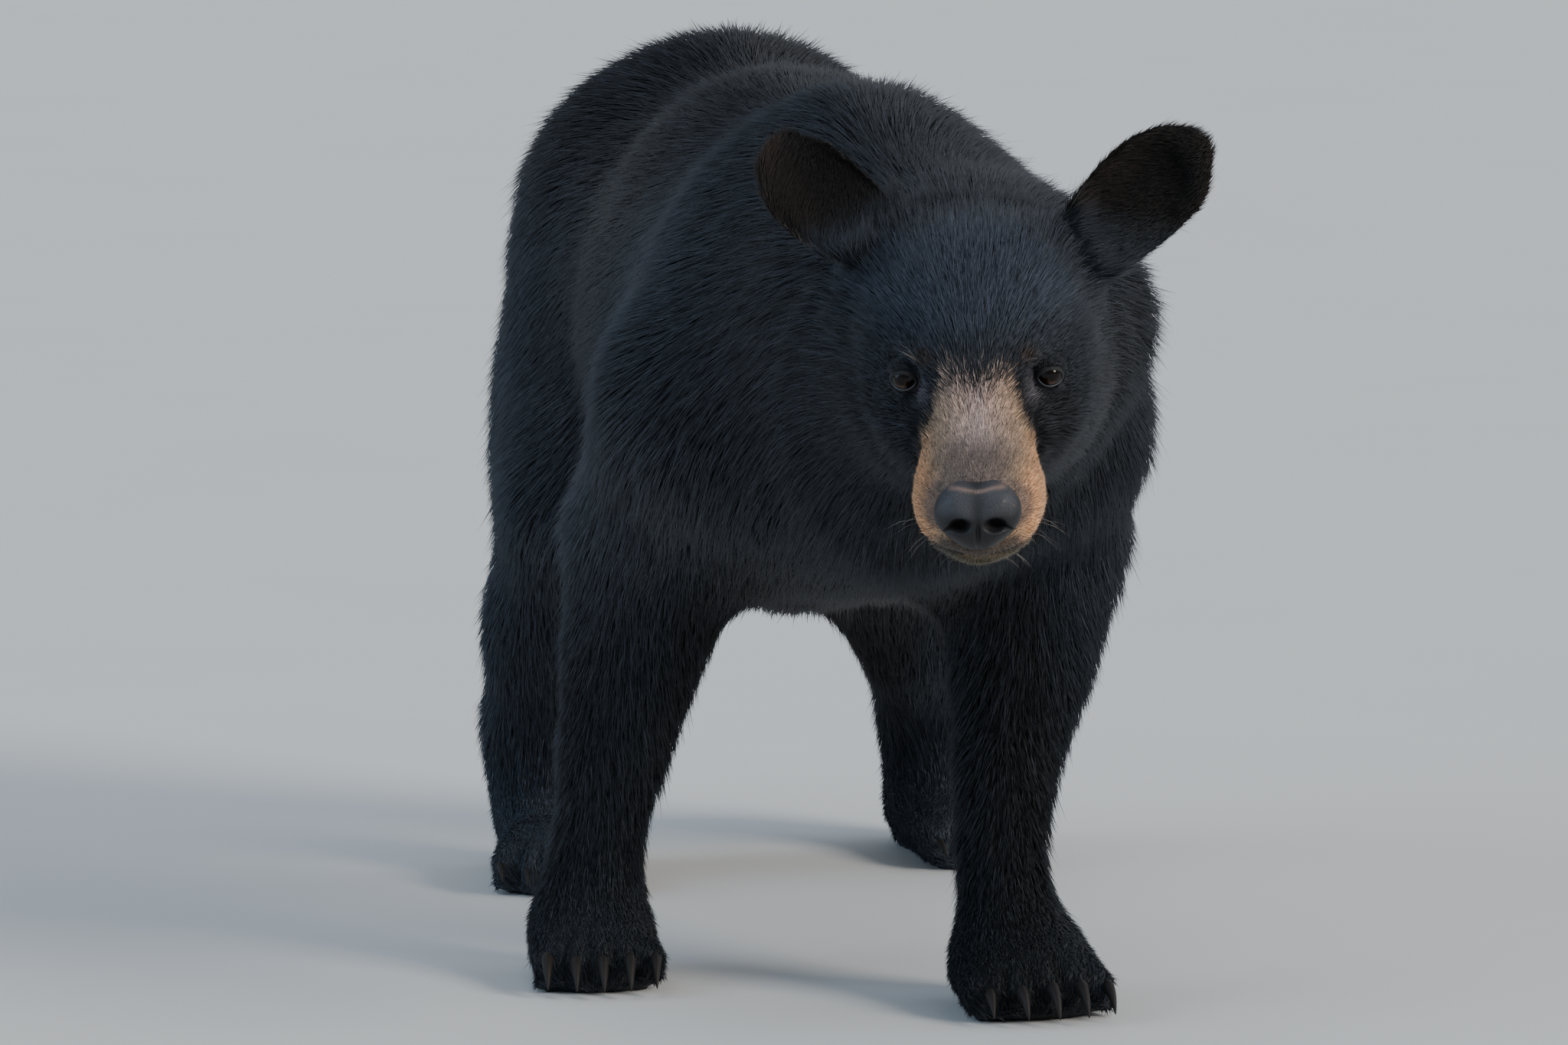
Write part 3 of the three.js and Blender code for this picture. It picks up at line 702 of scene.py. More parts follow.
def hollow_ear(skin, number, ear, normal):
    """Hollows an ear in front, lifts the hair at its edge, and sets how its hair grows."""
    here = skin.labels == number
    points = skin.surface.points
    across, along = ear.places(points[here])
    facing = normal[here] @ ear.front
    away = np.sqrt(across**2 + ((along - 0.5) / 0.46) ** 2)
    front = smooth_step(0.0, 0.5, facing)
    inside = smooth_step(0.95, 0.55, away) * smooth_step(-0.05, 0.2, along)
    points[here] -= (front * inside * EAR_HOLLOW * MM)[:, None] * ear.front
    edge = 1 - np.abs(facing)
    longer = 1.3 * smooth_step(0.35, 0.0, along) + 0.9 * smooth_step(0.1, 0.8, across)
    skin.values[here, LENGTH] *= 1 + front * longer
    skin.values[here, DEPTH] *= 1 + 0.9 * smooth_step(0.4, 0.9, edge)
    # Inside, the hair runs from the inner edge out over the hollow.
    over = (front * smooth_step(-0.6, 0.2, across))[:, None]
    skin.lie[here] = skin.lie[here] * (1 - over) + over * (0.7 * ear.axis - 0.8 * ear.inward)


FOOT_TOP = 52 * MM  # the feet get a finer mesh up to here
SEAM_TURNS = 90  # how long the folds between the body's solids are smoothed


def seams(surface, labels):
    """How near each vertex is to a fold between two solids of the body, from 0 to 1."""
    kinds = np.array([kind_of(node) for node in FLESH])
    face = np.isin(kinds, ("ear", "muzzle", "lower_jaw"))
    body = np.isin(kinds, ("rump", "trunk", "chest", "neck", "head", "tail"))
    one, two = labels[surface.one], labels[surface.two]
    fold = (one != two) & ~face[one] & ~face[two]
    strength = np.where(body[one] & body[two], 1.0, 0.35)[fold]
    near = np.zeros(len(labels))
    np.maximum.at(near, surface.one[fold], strength)
    np.maximum.at(near, surface.two[fold], strength)
    return np.clip(surface.spread(near[:, None], 30)[:, 0] * 7, 0, 1)


def make_skin():
    """The skin, refined on the head, drawn in and sculpted."""
    obj = joined_flesh()
    flesh = Flesh()
    coarse = Surface(obj.data)
    for _ in range(2):
        flesh.drape(coarse, np.ones(len(coarse.points)))
    floor = coarse.points[:, 2] < 1.5 * MM
    coarse.fair(seams(coarse, flesh.owner(coarse.points)) * ~floor, SEAM_TURNS, -0.3)
    shaped(obj, coarse.points)
    refine(obj, lambda p: p[:, 2] < FOOT_TOP)
    refine(obj, lambda p: np.linalg.norm(p - HEAD_ORIGIN, axis=1) < HEAD_REACH)
    refine(obj, lambda p: np.linalg.norm(to_head(p) - FACE_MIDDLE, axis=1) < FACE_REACH)
    surface = Surface(obj.data)
    labels = flesh.owner(surface.points)
    in_face = smooth_step(
        FACE_REACH + 15, FACE_REACH, np.linalg.norm(to_head(surface.points) - FACE_MIDDLE, axis=1)
    )
    ears = np.isin(labels, [FLESH.index(node) for node in EARS])
    feet = smooth_step(FOOT_TOP, FOOT_TOP * 0.6, surface.points[:, 2])
    feet *= surface.points[:, 2] > 2 * MM
    for _ in range(2):
        flesh.drape(surface, np.maximum(np.maximum(in_face, ears), feet))
    shaped(obj, surface.points)
    skin = Skin(obj, flesh)
    surface = skin.surface
    ears = np.isin(skin.labels, [FLESH.index(node) for node in EARS])
    fine = np.linalg.norm(surface.points - HEAD_ORIGIN, axis=1) < HEAD_REACH + 0.02
    fine &= ears | (to_head(surface.points)[:, 1] < 45)
    feet = surface.points[:, 2] < 0.09
    strong = surface.spread((~(fine | feet)).astype(float)[:, None], 8)[:, 0]
    floor = surface.points[:, 2] < 1.5 * MM
    surface.fair(0.35 + 0.65 * strong, 10)
    surface.fair(strong, 120, -0.522)
    surface.points[floor, 2] = 0
    sculpt(skin)
    surface.fair(np.full(len(surface.points), 0.5), 3)
    surface.points[floor, 2] = 0.0
    normal = skin.normal = surface.normals()
    lie = skin.lie
    for _ in range(12):
        lie = unit(lie - (lie * normal).sum(1, keepdims=True) * normal)
        lie = 0.5 * lie + 0.5 * surface.around(lie)
    skin.lie = unit(lie - (lie * normal).sum(1, keepdims=True) * normal)
    shaped(obj, surface.points)
    smooth(obj)
    paint(obj, "marking", markings(surface.points))
    return skin


# ------------------------------------------------------------------ the coat
def swirl(points, size, seed):
    """Slow changes over the surface, between -1 and 1."""
    scale = 1 / (size * MM)
    shift = Vector((seed * 7.3, seed * 3.1, seed * 5.7))
    return np.array([noise.noise(Vector(p) * scale + shift) for p in points])


def planted(skin, nodes, wanted, rng, where=None):
    """Roots of tufts, spread evenly by each place's density: their triangles and shares."""
    surface = skin.surface
    tri = surface.tri
    corner = surface.points[tri]
    area = np.linalg.norm(
        np.cross(corner[:, 1] - corner[:, 0], corner[:, 2] - corner[:, 0]), axis=1
    ) / 2
    votes = np.isin(skin.labels[tri], [FLESH.index(node) for node in nodes]).sum(1)
    inside = votes >= 2
    centre = corner.mean(1)
    if where is not None:
        inside &= where(to_head(centre))
    # No tufts on the soles, under the nose pad or in the eyes.
    head = to_head(centre)
    inside &= ~((centre[:, 2] < 4 * MM) & (skin.normal[tri].mean(1)[:, 2] < -0.3))
    eye = np.hypot((np.abs(head[:, 0]) - EYE_OUT) / EYE_OPEN[0], head[:, 2] / EYE_OPEN[1])
    inside &= ~((eye < 1) & (head[:, 1] < 12) & (head[:, 1] > -40))
    inside &= ~in_nose(head)
    weight = area * skin.values[tri, DENSITY].mean(1) * 1e4 * inside
    total = weight.sum()
    count = min(int(total), wanted)
    ends = np.cumsum(weight)
    draw = (np.arange(count) + rng.random(count)) * (total / count)
    number = np.minimum(np.searchsorted(ends, draw), len(tri) - 1)
    share = rng.random((count, 2))
    flip = share.sum(1) > 1
    share[flip] = 1 - share[flip]
    shares = np.column_stack([share, 1 - share.sum(1)])
    return number, shares


TUFT_ANGLES = (210, 330, 90)  # the corners of a tuft's section, in degrees


def tuft_mesh(roots, mids, tips, side, up, width):
    """Tapered closed tufts: three-sided, from a root through a middle, if given, to a tip."""
    count = len(roots)
    angles = np.radians(TUFT_ANGLES)
    rings = []
    for place, wide in ((roots, 1.0), (mids, 0.8)):
        if place is None:
            continue
        for angle in angles:
            reach = side * math.cos(angle) + up * math.sin(angle) * 0.55
            rings.append(place + reach * (width * wide / 2)[:, None])
    rings.append(tips)
    points = np.stack(rings, 1).reshape(-1, 3)
    if mids is None:
        tri = np.array([(0, 1, 3), (1, 2, 3), (2, 0, 3), (0, 2, 1)])
        along = np.array((0, 0, 0, 1.0))
    else:
        tri = np.array([
            (0, 1, 4), (0, 4, 3), (1, 2, 5), (1, 5, 4), (2, 0, 3), (2, 3, 5),
            (3, 4, 6), (4, 5, 6), (5, 3, 6), (0, 2, 1),
        ])
        along = np.array((0, 0, 0, 0.5, 0.5, 0.5, 1.0))
    size = len(along)
    faces = (tri[None] + (np.arange(count) * size)[:, None, None]).reshape(-1, 3)
    return points, faces, np.tile(along, count), size, tri


def unwrap(name, points):
    """A place on the bake map for each root, from an unwrap of the skin round its own axis."""
    if name in ("coat_crown", "coat_cheeks", "coat_muzzle", "whiskers"):
        x, y, z = to_head(points).T
        turn = np.arctan2(x, z + 25)
        along = y
        if name == "coat_crown":
            turn = np.arctan2(x, y + 40)
            along = -np.hypot(x, y + 40) * 0.6 + z
    elif name == "coat_ears":
        turn = np.zeros(len(points))
        along = np.zeros(len(points))
        for number, node in enumerate(("ear_left", "ear_right")):
            ear = EARS[node]
            away = points - ear.middle
            here = np.linalg.norm(away, axis=1) < 0.09
            circle = np.arctan2(away[here] @ ear.inward, away[here] @ ear.front)
            turn[here] = circle / 2 + (number - 0.5) * math.pi
            along[here] = away[here] @ ear.axis
    elif "leg" in name:
        centre = np.median(points[:, :2], 0)
        turn = np.arctan2(points[:, 0] - centre[0], points[:, 1] - centre[1])
        along = points[:, 2]
    else:
        turn = np.arctan2(points[:, 0] - middle("trunk").x, points[:, 2] - 0.4)
        along = points[:, 1]
    low, high = along.min(), along.max()
    v = 0.01 + 0.98 * (along - low) / (high - low)
    u = 0.01 + 0.98 * (turn + math.pi) / (2 * math.pi)
    return np.column_stack([u, v])


PATCH = 0.0016  # half the width of a tuft's patch on the bake map
HAIR_FLOOR = 0.2 * MM  # hair stays this far above the floor, and its tips a little further
TIP_FLOOR = 0.4 * MM
STRAY_SHARE = 0.01  # of the tufts stand out a little
LOCK_SIZE = 7  # tufts to a lock


def bake_tufts(obj, place, pattern, rings):
    """Gives each tuft a small patch of the bake map, at its root's place."""
    corner = np.array([(math.cos(a), math.sin(a)) for a in np.radians(TUFT_ANGLES)]) * PATCH
    flat = np.concatenate([corner * (1 - 0.5 * ring) for ring in range(rings)] + [np.zeros((1, 2))])
    corners = flat[pattern]
    corners[-1] = flat[0] * 1.01  # the cap, out of sight in the skin
    bake_map(obj, place[:, None, None, :] + corners[None])


def make_coat(skin, name, rng, material, where=None, wanted=MOST_TUFTS):
    """One piece of the coat, as closed tufts that follow the lie of the hair."""
    nodes, slot = COATS[name]
    number, shares = planted(skin, nodes, wanted, rng, where)
    tri = skin.surface.tri[number]
    take = lambda values: (values[tri] * shares[:, :, None]).sum(1)
    roots = take(skin.surface.points)
    normal = unit(take(skin.normal))
    lie = unit(take(skin.lie))
    lie = unit(lie - (lie * normal).sum(1, keepdims=True) * normal)
    values = take(skin.values)
    count = len(roots)
    side = np.cross(normal, lie)

    # Slow swirls turn the hair, and every tuft differs a little.
    turn = 0.16 * take(skin.swirl[:, None])[:, 0] + rng.normal(0, 0.13, count)
    lie = lie * np.cos(turn)[:, None] + side * np.sin(turn)[:, None]
    side = np.cross(normal, lie)
    length = values[:, LENGTH] * np.exp(rng.normal(0, 0.22, count)) * skin.shorten(roots)
    depth = values[:, DEPTH] * skin.shorten(roots)
    lift = np.arcsin(np.clip(depth / (values[:, LENGTH] * skin.shorten(roots)), 0.05, 0.8))
    lift = lift * np.exp(rng.normal(-0.1, 0.2, count))
    stray = rng.random(count) < STRAY_SHARE
    lift = np.where(stray, lift * 1.4 + 0.05, lift)
    length = length * MM
    width = values[:, WIDTH] * MM * np.exp(rng.normal(0, 0.2, count))
    reach = lie * (length * np.cos(lift))[:, None] + normal * (length * np.sin(lift))[:, None]
    roots = roots - normal * (0.25 * width)[:, None]
    tips = roots + reach

    # Neighbours gather into locks: their tips are drawn towards a common one.
    gather = values[:, LOCKS]
    locks = max(1, count // LOCK_SIZE)
    seeds = rng.choice(count, locks, replace=False)
    tree = kdtree.KDTree(locks)
    for n, place in enumerate(roots[seeds]):
        tree.insert(place, n)
    tree.balance()
    owner = seeds[[tree.find(p)[1] for p in roots]]
    near = np.linalg.norm(roots - roots[owner], axis=1) < length * 0.6
    pull = (gather * near * rng.uniform(0.5, 1.2, count))[:, None]
    tips += (tips[owner] - tips) * pull * 0.75

    tips[:, 2] = np.maximum(tips[:, 2], TIP_FLOOR)
    up = unit(np.cross(tips - roots, side))
    points, faces, along, size, pattern = tuft_mesh(roots, None, tips, side, up, width)
    points[:, 2] = np.maximum(points[:, 2], HAIR_FLOOR)
    obj = piece_from(name, points, faces)
    smooth(obj)
    blur = rng.normal(0, 2.2, count)
    paint(obj, "marking", np.repeat(markings(roots, blur), size, 0))
    paint(obj, "along", along)
    paint(obj, "tone", np.repeat(rng.random(count), size))
    strand = np.array((-1.0, 1.0, 0.0, 0.0))
    paint(obj, "strand", np.tile(strand, count) + np.repeat(rng.uniform(0, 90, count), size))

    bake_tufts(obj, unwrap(name, roots), pattern, 1)
    finished(obj, material)


# ------------------------------------------------------------------ materials
def nodes_of(name):
    """A new material, its node tree and its Principled shader."""
    material = bpy.data.materials.new(name)
    material.use_nodes = True
    tree = material.node_tree
    return material, tree, tree.nodes["Principled BSDF"]


def add(tree, kind, **settings):
    """Adds a node. Settings name its properties."""
    node = tree.nodes.new(kind)
    for key, value in settings.items():
        setattr(node, key, value)
    return node


def feed(tree, node, socket, source):
    """Links an output into a socket, or sets a value there."""
    if isinstance(source, bpy.types.NodeSocket):
        tree.links.new(source, node.inputs[socket])
    else:
        node.inputs[socket].default_value = source


def math_node(tree, operation, one, two):
    """The result of a sum on two values."""
    node = add(tree, "ShaderNodeMath", operation=operation)
    feed(tree, node, 0, one)
    feed(tree, node, 1, two)
    return node.outputs[0]


def mix_node(tree, share, one, two):
    """A mix of two colours."""
    node = add(tree, "ShaderNodeMix", data_type="RGBA", blend_type="MIX")
    feed(tree, node, 0, share)
    feed(tree, node, 6, one)
    feed(tree, node, 7, two)
    return node.outputs[2]


def ramp(tree, value, low, high):
    """A value spread from low..high to 0..1, held at the ends."""
    node = add(tree, "ShaderNodeMapRange", interpolation_type="SMOOTHSTEP")
    feed(tree, node, "Value", value)
    feed(tree, node, "From Min", low)
    feed(tree, node, "From Max", high)
    return node.outputs[0]


def noise_node(tree, vector, scale, detail=3.0, rough=0.5):
    """Noise on a vector."""
    node = add(tree, "ShaderNodeTexNoise")
    feed(tree, node, "Vector", vector)
    feed(tree, node, "Scale", scale)
    feed(tree, node, "Detail", detail)
    feed(tree, node, "Roughness", rough)
    return node.outputs["Fac"]


def group(name, inputs, outputs):
    """A shader node group with named sockets."""
    made = bpy.data.node_groups.new(name, "ShaderNodeTree")
    for label, kind, default in inputs:
        socket = made.interface.new_socket(label, in_out="INPUT", socket_type=f"NodeSocket{kind}")
        if default is not None:
            socket.default_value = default
    for label, kind in outputs:
        made.interface.new_socket(label, in_out="OUTPUT", socket_type=f"NodeSocket{kind}")
    return made, made.nodes.new("NodeGroupInput").outputs, made.nodes.new("NodeGroupOutput")


def place_group(tree, made, **values):
    """Places a node group and feeds its inputs, given with _ for spaces."""
    node = add(tree, "ShaderNodeGroup", node_tree=made)
    for label, value in values.items():
        feed(tree, node, label.replace("_", " "), value)
    return node.outputs


def hair_group():
    """Colour of hair: its marking, lighter to the tip, uneven from tuft to tuft and place to place."""
    made, given, out = group(
        "hair_colour",
        [
            ("Marking", "Color", None),
            ("Along", "Float", 0.5),
            ("Tone", "Float", 0.5),
            ("Place", "Vector", None),
            ("Root Shade", "Float", 0.6),
            ("Tip Shade", "Float", 1.4),
            ("Spread", "Float", 0.6),
            ("Frost", "Float", 0.0),
            ("Strand", "Float", 0.0),
        ],
        [("Color", "Color"), ("Roughness", "Float")],
    )
    broad = noise_node(made, given["Place"], 9.0, 3.0)
    broad = math_node(made, "ADD", math_node(made, "MULTIPLY", broad, 0.7), 0.65)
    span = math_node(made, "SUBTRACT", given["Tip Shade"], given["Root Shade"])
    shade = math_node(made, "ADD", math_node(made, "MULTIPLY", given["Along"], span),
                      given["Root Shade"])
    uneven = math_node(made, "MULTIPLY", math_node(made, "SUBTRACT", given["Tone"], 0.5),
                       given["Spread"])
    uneven = math_node(made, "ADD", uneven, 1.0)
    fine = add(made, "ShaderNodeTexNoise", noise_dimensions="1D")
    feed(made, fine, "W", given["Strand"])
    feed(made, fine, "Scale", 2.2)
    feed(made, fine, "Detail", 1.0)
    fine = math_node(made, "ADD", math_node(made, "MULTIPLY", fine.outputs["Fac"], 1.3), 0.35)
    total = math_node(made, "MULTIPLY", math_node(made, "MULTIPLY", shade, uneven), broad)
    total = math_node(made, "MULTIPLY", total, fine)
    scaled = add(made, "ShaderNodeVectorMath", operation="SCALE")
    feed(made, scaled, 0, given["Marking"])
    feed(made, scaled, "Scale", total)
    light_tip = math_node(made, "MULTIPLY", math_node(made, "POWER", given["Along"], 1.6),
                          ramp(made, given["Tone"], 0.45, 1.0))
    light_tip = math_node(made, "MULTIPLY", light_tip, given["Frost"])
    frosted = mix_node(made, light_tip, scaled.outputs[0], (0.115, 0.125, 0.150, 1))
    feed(made, out, "Color", frosted)
    rough = math_node(made, "ADD", math_node(made, "MULTIPLY", given["Tone"], 0.16), 0.42)
    feed(made, out, "Roughness", rough)
    return made


def grain_group():
    """Fine pebbles of bare skin, as a height and a mask of its creases."""
    made, given, out = group(
        "skin_grain",
        [("Place", "Vector", None), ("Scale", "Float", 700.0)],
        [("Height", "Float"), ("Crease", "Float")],
    )
    cells = add(made, "ShaderNodeTexVoronoi", feature="DISTANCE_TO_EDGE")
    warp = add(made, "ShaderNodeTexNoise")
    feed(made, warp, "Vector", given["Place"])
    feed(made, warp, "Scale", 300.0)
    bent = add(made, "ShaderNodeVectorMath", operation="MULTIPLY_ADD")
    feed(made, bent, 0, warp.outputs["Color"])
    feed(made, bent, 1, (0.0012, 0.0012, 0.0012))
    feed(made, bent, 2, given["Place"])
    feed(made, cells, "Vector", bent.outputs[0])
    feed(made, cells, "Scale", given["Scale"])
    height = ramp(made, cells.outputs["Distance"], 0.0, 0.28)
    feed(made, out, "Height", height)
    feed(made, out, "Crease", math_node(made, "SUBTRACT", 1.0, height))
    return made


def object_place(tree):
    """Object coordinates."""
    return add(tree, "ShaderNodeTexCoord").outputs["Object"]


def attribute(tree, name, output):
    """An attribute of the mesh."""
    return add(tree, "ShaderNodeAttribute", attribute_name=name).outputs[output]


def bump(tree, height, strength, distance):
    """A bump from a height."""
    node = add(tree, "ShaderNodeBump")
    feed(tree, node, "Height", height)
    feed(tree, node, "Strength", strength)
    feed(tree, node, "Distance", distance)
    return node.outputs[0]


def fur_material(name, groups, sheen, tint, root, tip, spread, frost=0.0, tufts=True):
    """Hair, on tufts or on the skin under them. root and tip are factors on its colour."""
    material, tree, shader = nodes_of(name)
    place = object_place(tree)
    if tufts:
        along, tone = attribute(tree, "along", "Fac"), attribute(tree, "tone", "Fac")
        strand = attribute(tree, "strand", "Fac")
    else:
        along, tone = 0.35, noise_node(tree, place, 900.0, 2.0, 0.7)
        strand = math_node(tree, "MULTIPLY", tone, 6.0)
    out = place_group(
        tree, groups["hair"], Marking=attribute(tree, "marking", "Color"), Along=along, Tone=tone,
        Place=place, Root_Shade=root, Tip_Shade=tip, Spread=spread, Frost=frost,
        Strand=strand,
    )
    feed(tree, shader, "Base Color", out["Color"])
    feed(tree, shader, "Roughness", out["Roughness"])
    shader.inputs["Specular IOR Level"].default_value = 0.25
    shader.inputs["Sheen Weight"].default_value = sheen
    shader.inputs["Sheen Roughness"].default_value = 0.35
    shader.inputs["Sheen Tint"].default_value = (*tint, 1)
    if not tufts:
        feed(tree, shader, "Normal", bump(tree, tone, 0.6, 0.0012))
    return material


def nose_material(groups):
    """Moist pebbled skin of the nose pad."""
    material, tree, shader = nodes_of("nose_skin")
    place = object_place(tree)
    grain = place_group(tree, groups["grain"], Place=place, Scale=820.0)
    broad = noise_node(tree, place, 60.0, 3.0)
    colour = mix_node(tree, broad, (0.034, 0.036, 0.042, 1), (0.070, 0.072, 0.082, 1))
    # Painted shade: the creases between the pebbles are drawn darker.
    colour = mix_node(tree, math_node(tree, "MULTIPLY", grain["Crease"], 0.5), colour,
                      (0.018, 0.018, 0.021, 1))
    # Painted shade: the lower front, the sides and the middle groove of the pad are drawn near black.
    colour = mix_node(tree, attribute(tree, "low", "Fac"), colour, (0.007, 0.007, 0.008, 1))
    colour = mix_node(tree, attribute(tree, "rim", "Fac"), colour, (0.20, 0.135, 0.110, 1))
    # Painted shade: the nostrils are drawn almost black.
    colour = mix_node(tree, attribute(tree, "hollow", "Fac"), colour, (0.004, 0.003, 0.003, 1))
    feed(tree, shader, "Base Color", colour)
    rough = math_node(tree, "ADD", math_node(tree, "MULTIPLY", broad, 0.25), 0.36)
    shader.inputs["Specular IOR Level"].default_value = 0.3
    feed(tree, shader, "Roughness", math_node(
        tree, "ADD", rough, math_node(tree, "MULTIPLY", attribute(tree, "hollow", "Fac"), 0.5)))
    feed(tree, shader, "Normal", bump(tree, grain["Height"], 0.35, 0.0003))
    dry = math_node(tree, "SUBTRACT", 1.0, attribute(tree, "hollow", "Fac"))
    feed(tree, shader, "Coat Weight", math_node(tree, "MULTIPLY", dry, 0.06))
    shader.inputs["Coat Roughness"].default_value = 0.22
    return material


def eye_material():
    """A dark eye: black pupil, brown iris with fibres and painted light on its lower middle, black
    rim, wet surface.
    """
    material, tree, shader = nodes_of("eye_wet")
    gaze = attribute(tree, "gaze", "Fac")
    turn = attribute(tree, "turn", "Fac")
    spokes = add(tree, "ShaderNodeTexNoise", noise_dimensions="1D")
    feed(tree, spokes, "W", math_node(tree, "MULTIPLY", turn, 9.0))
    feed(tree, spokes, "Scale", 3.0)
    feed(tree, spokes, "Detail", 4.0)
    iris = mix_node(tree, spokes.outputs["Fac"], (0.003, 0.0017, 0.001, 1), (0.007, 0.0035, 0.002, 1))
    # Painted light: the lower middle of the iris is drawn a lighter brown, as if lit through the
    # cornea.
    lit = mix_node(tree, spokes.outputs["Fac"], (0.050, 0.020, 0.007, 1), (0.115, 0.050, 0.018, 1))
    iris = mix_node(tree, attribute(tree, "painted_iris_light", "Fac"), iris, lit)
    colour = mix_node(tree, ramp(tree, gaze, 0.16, 0.27), (0.003, 0.002, 0.001, 1), iris)
    colour = mix_node(tree, ramp(tree, gaze, 0.52, 0.64), colour, (0.004, 0.003, 0.003, 1))
    feed(tree, shader, "Base Color", colour)
    shader.inputs["Roughness"].default_value = 0.3
    shader.inputs["Specular IOR Level"].default_value = 0.0
    shader.inputs["Coat Weight"].default_value = 1.0
    shader.inputs["Coat Roughness"].default_value = 0.03
    shader.inputs["Coat IOR"].default_value = 1.3
    return material


def lid_material(groups):
    """Dark lids, with a paler edge on the lower one: a painted reflection on its wet rim."""
    material, tree, shader = nodes_of("lid_skin")
    place = object_place(tree)
    grain = place_group(tree, groups["grain"], Place=place, Scale=1500.0)
    # Painted reflection: the lower lid's wet rim is drawn pale blue-grey; it is also less rough.
    colour = mix_node(tree, attribute(tree, "wet", "Fac"), (0.006, 0.006, 0.007, 1),
                      (0.12, 0.13, 0.15, 1))
    feed(tree, shader, "Base Color", colour)
    feed(tree, shader, "Roughness", math_node(
        tree, "SUBTRACT", 0.75, math_node(tree, "MULTIPLY", attribute(tree, "wet", "Fac"), 0.3)))
    feed(tree, shader, "Normal", bump(tree, grain["Height"], 0.3, 0.0002))
    return material


def horn_material():
    """Dark horn of the claws, streaked along and paler to the tip."""
    material, tree, shader = nodes_of("claw_horn")
    place = object_place(tree)
    streak = noise_node(tree, place, 420.0, 4.0, 0.7)
    colour = mix_node(tree, streak, (0.006, 0.005, 0.005, 1), (0.022, 0.017, 0.014, 1))
    feed(tree, shader, "Base Color", colour)
    feed(tree, shader, "Roughness", math_node(
        tree, "ADD", math_node(tree, "MULTIPLY", streak, 0.25), 0.45))
    feed(tree, shader, "Normal", bump(tree, streak, 0.3, 0.0003))
    shader.inputs["Specular IOR Level"].default_value = 0.25
    return material


# ------------------------------------------------------------------ eyes, lids, nose
GAZE = (0.26, -0.95, 0.02)  # the way the left eye looks, in the head's frame
CORNEA = 0.7  # how far the front of an eye bulges, in millimetres


def ball_radius(node):
    """The radius of an eyeball, from its solid's box."""
    low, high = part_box(node)
    return (high - low).length / 2 / math.sqrt(3)


def eye_axes(sign):
    """The way an eye looks, its right and its up."""
    look = unit(np.array((sign * GAZE[0], GAZE[1], GAZE[2])) @ HEAD_ROTATION.T)
    right = unit(np.cross(look, (0, 0, 1.0)))
    return look, right, np.cross(right, look)


def make_eyes(material):
    """The two eyeballs, a little bulged in front."""
    for side, sign in (("left", 1), ("right", -1)):
        node = f"eye_{side}"
        bpy.ops.object.select_all(action="DESELECT")
        bpy.ops.mesh.primitive_uv_sphere_add(
            segments=64, ring_count=40, radius=ball_radius(node), location=middle(node)
        )
        eye = bpy.context.active_object
        eye.name = eye.data.name = f"eyeball_{side}"
        bpy.ops.object.transform_apply(location=True, rotation=True, scale=True)
        points = coordinates(eye.data)
        centre = np.array(middle(node))
        way = unit(points - centre)
        look, right, up = eye_axes(sign)
        angle = np.arccos(np.clip(way @ look, -1, 1))
        cornea = np.exp(-((angle / 0.5) ** 4))
        shaped(eye, points + way * (cornea * CORNEA * MM)[:, None])
        paint(eye, "gaze", angle)
        paint(eye, "turn", np.abs(np.arctan2(way @ right, way @ up)))
        # Painted light on the iris, a little below the middle of the gaze.
        lit = np.linalg.norm(way - unit(look - 0.20 * up), axis=1)
        paint(eye, "painted_iris_light", np.exp(-((lit / 0.19) ** 2)))
        smooth(eye)
        finished(eye, material, [node])


LID_ROUND = 96  # vertices round a lid
LID_RINGS = (
    # share of the way out, height above the eyeball in millimetres
    (0.00, -0.3), (0.00, 0.3), (0.05, 0.5), (0.13, 0.62), (0.25, 0.6),
    (0.42, 0.4), (0.60, 0.0), (0.80, -0.7), (1.00, -1.8),
)
LID_OUT = 4.6  # how far the lids reach out under the skin
LID_WIDE = (7.6, 6.8)  # from the pupil to the inner and the outer corner
LID_HIGH = (4.7, 5.7)  # and to the upper and the lower edge


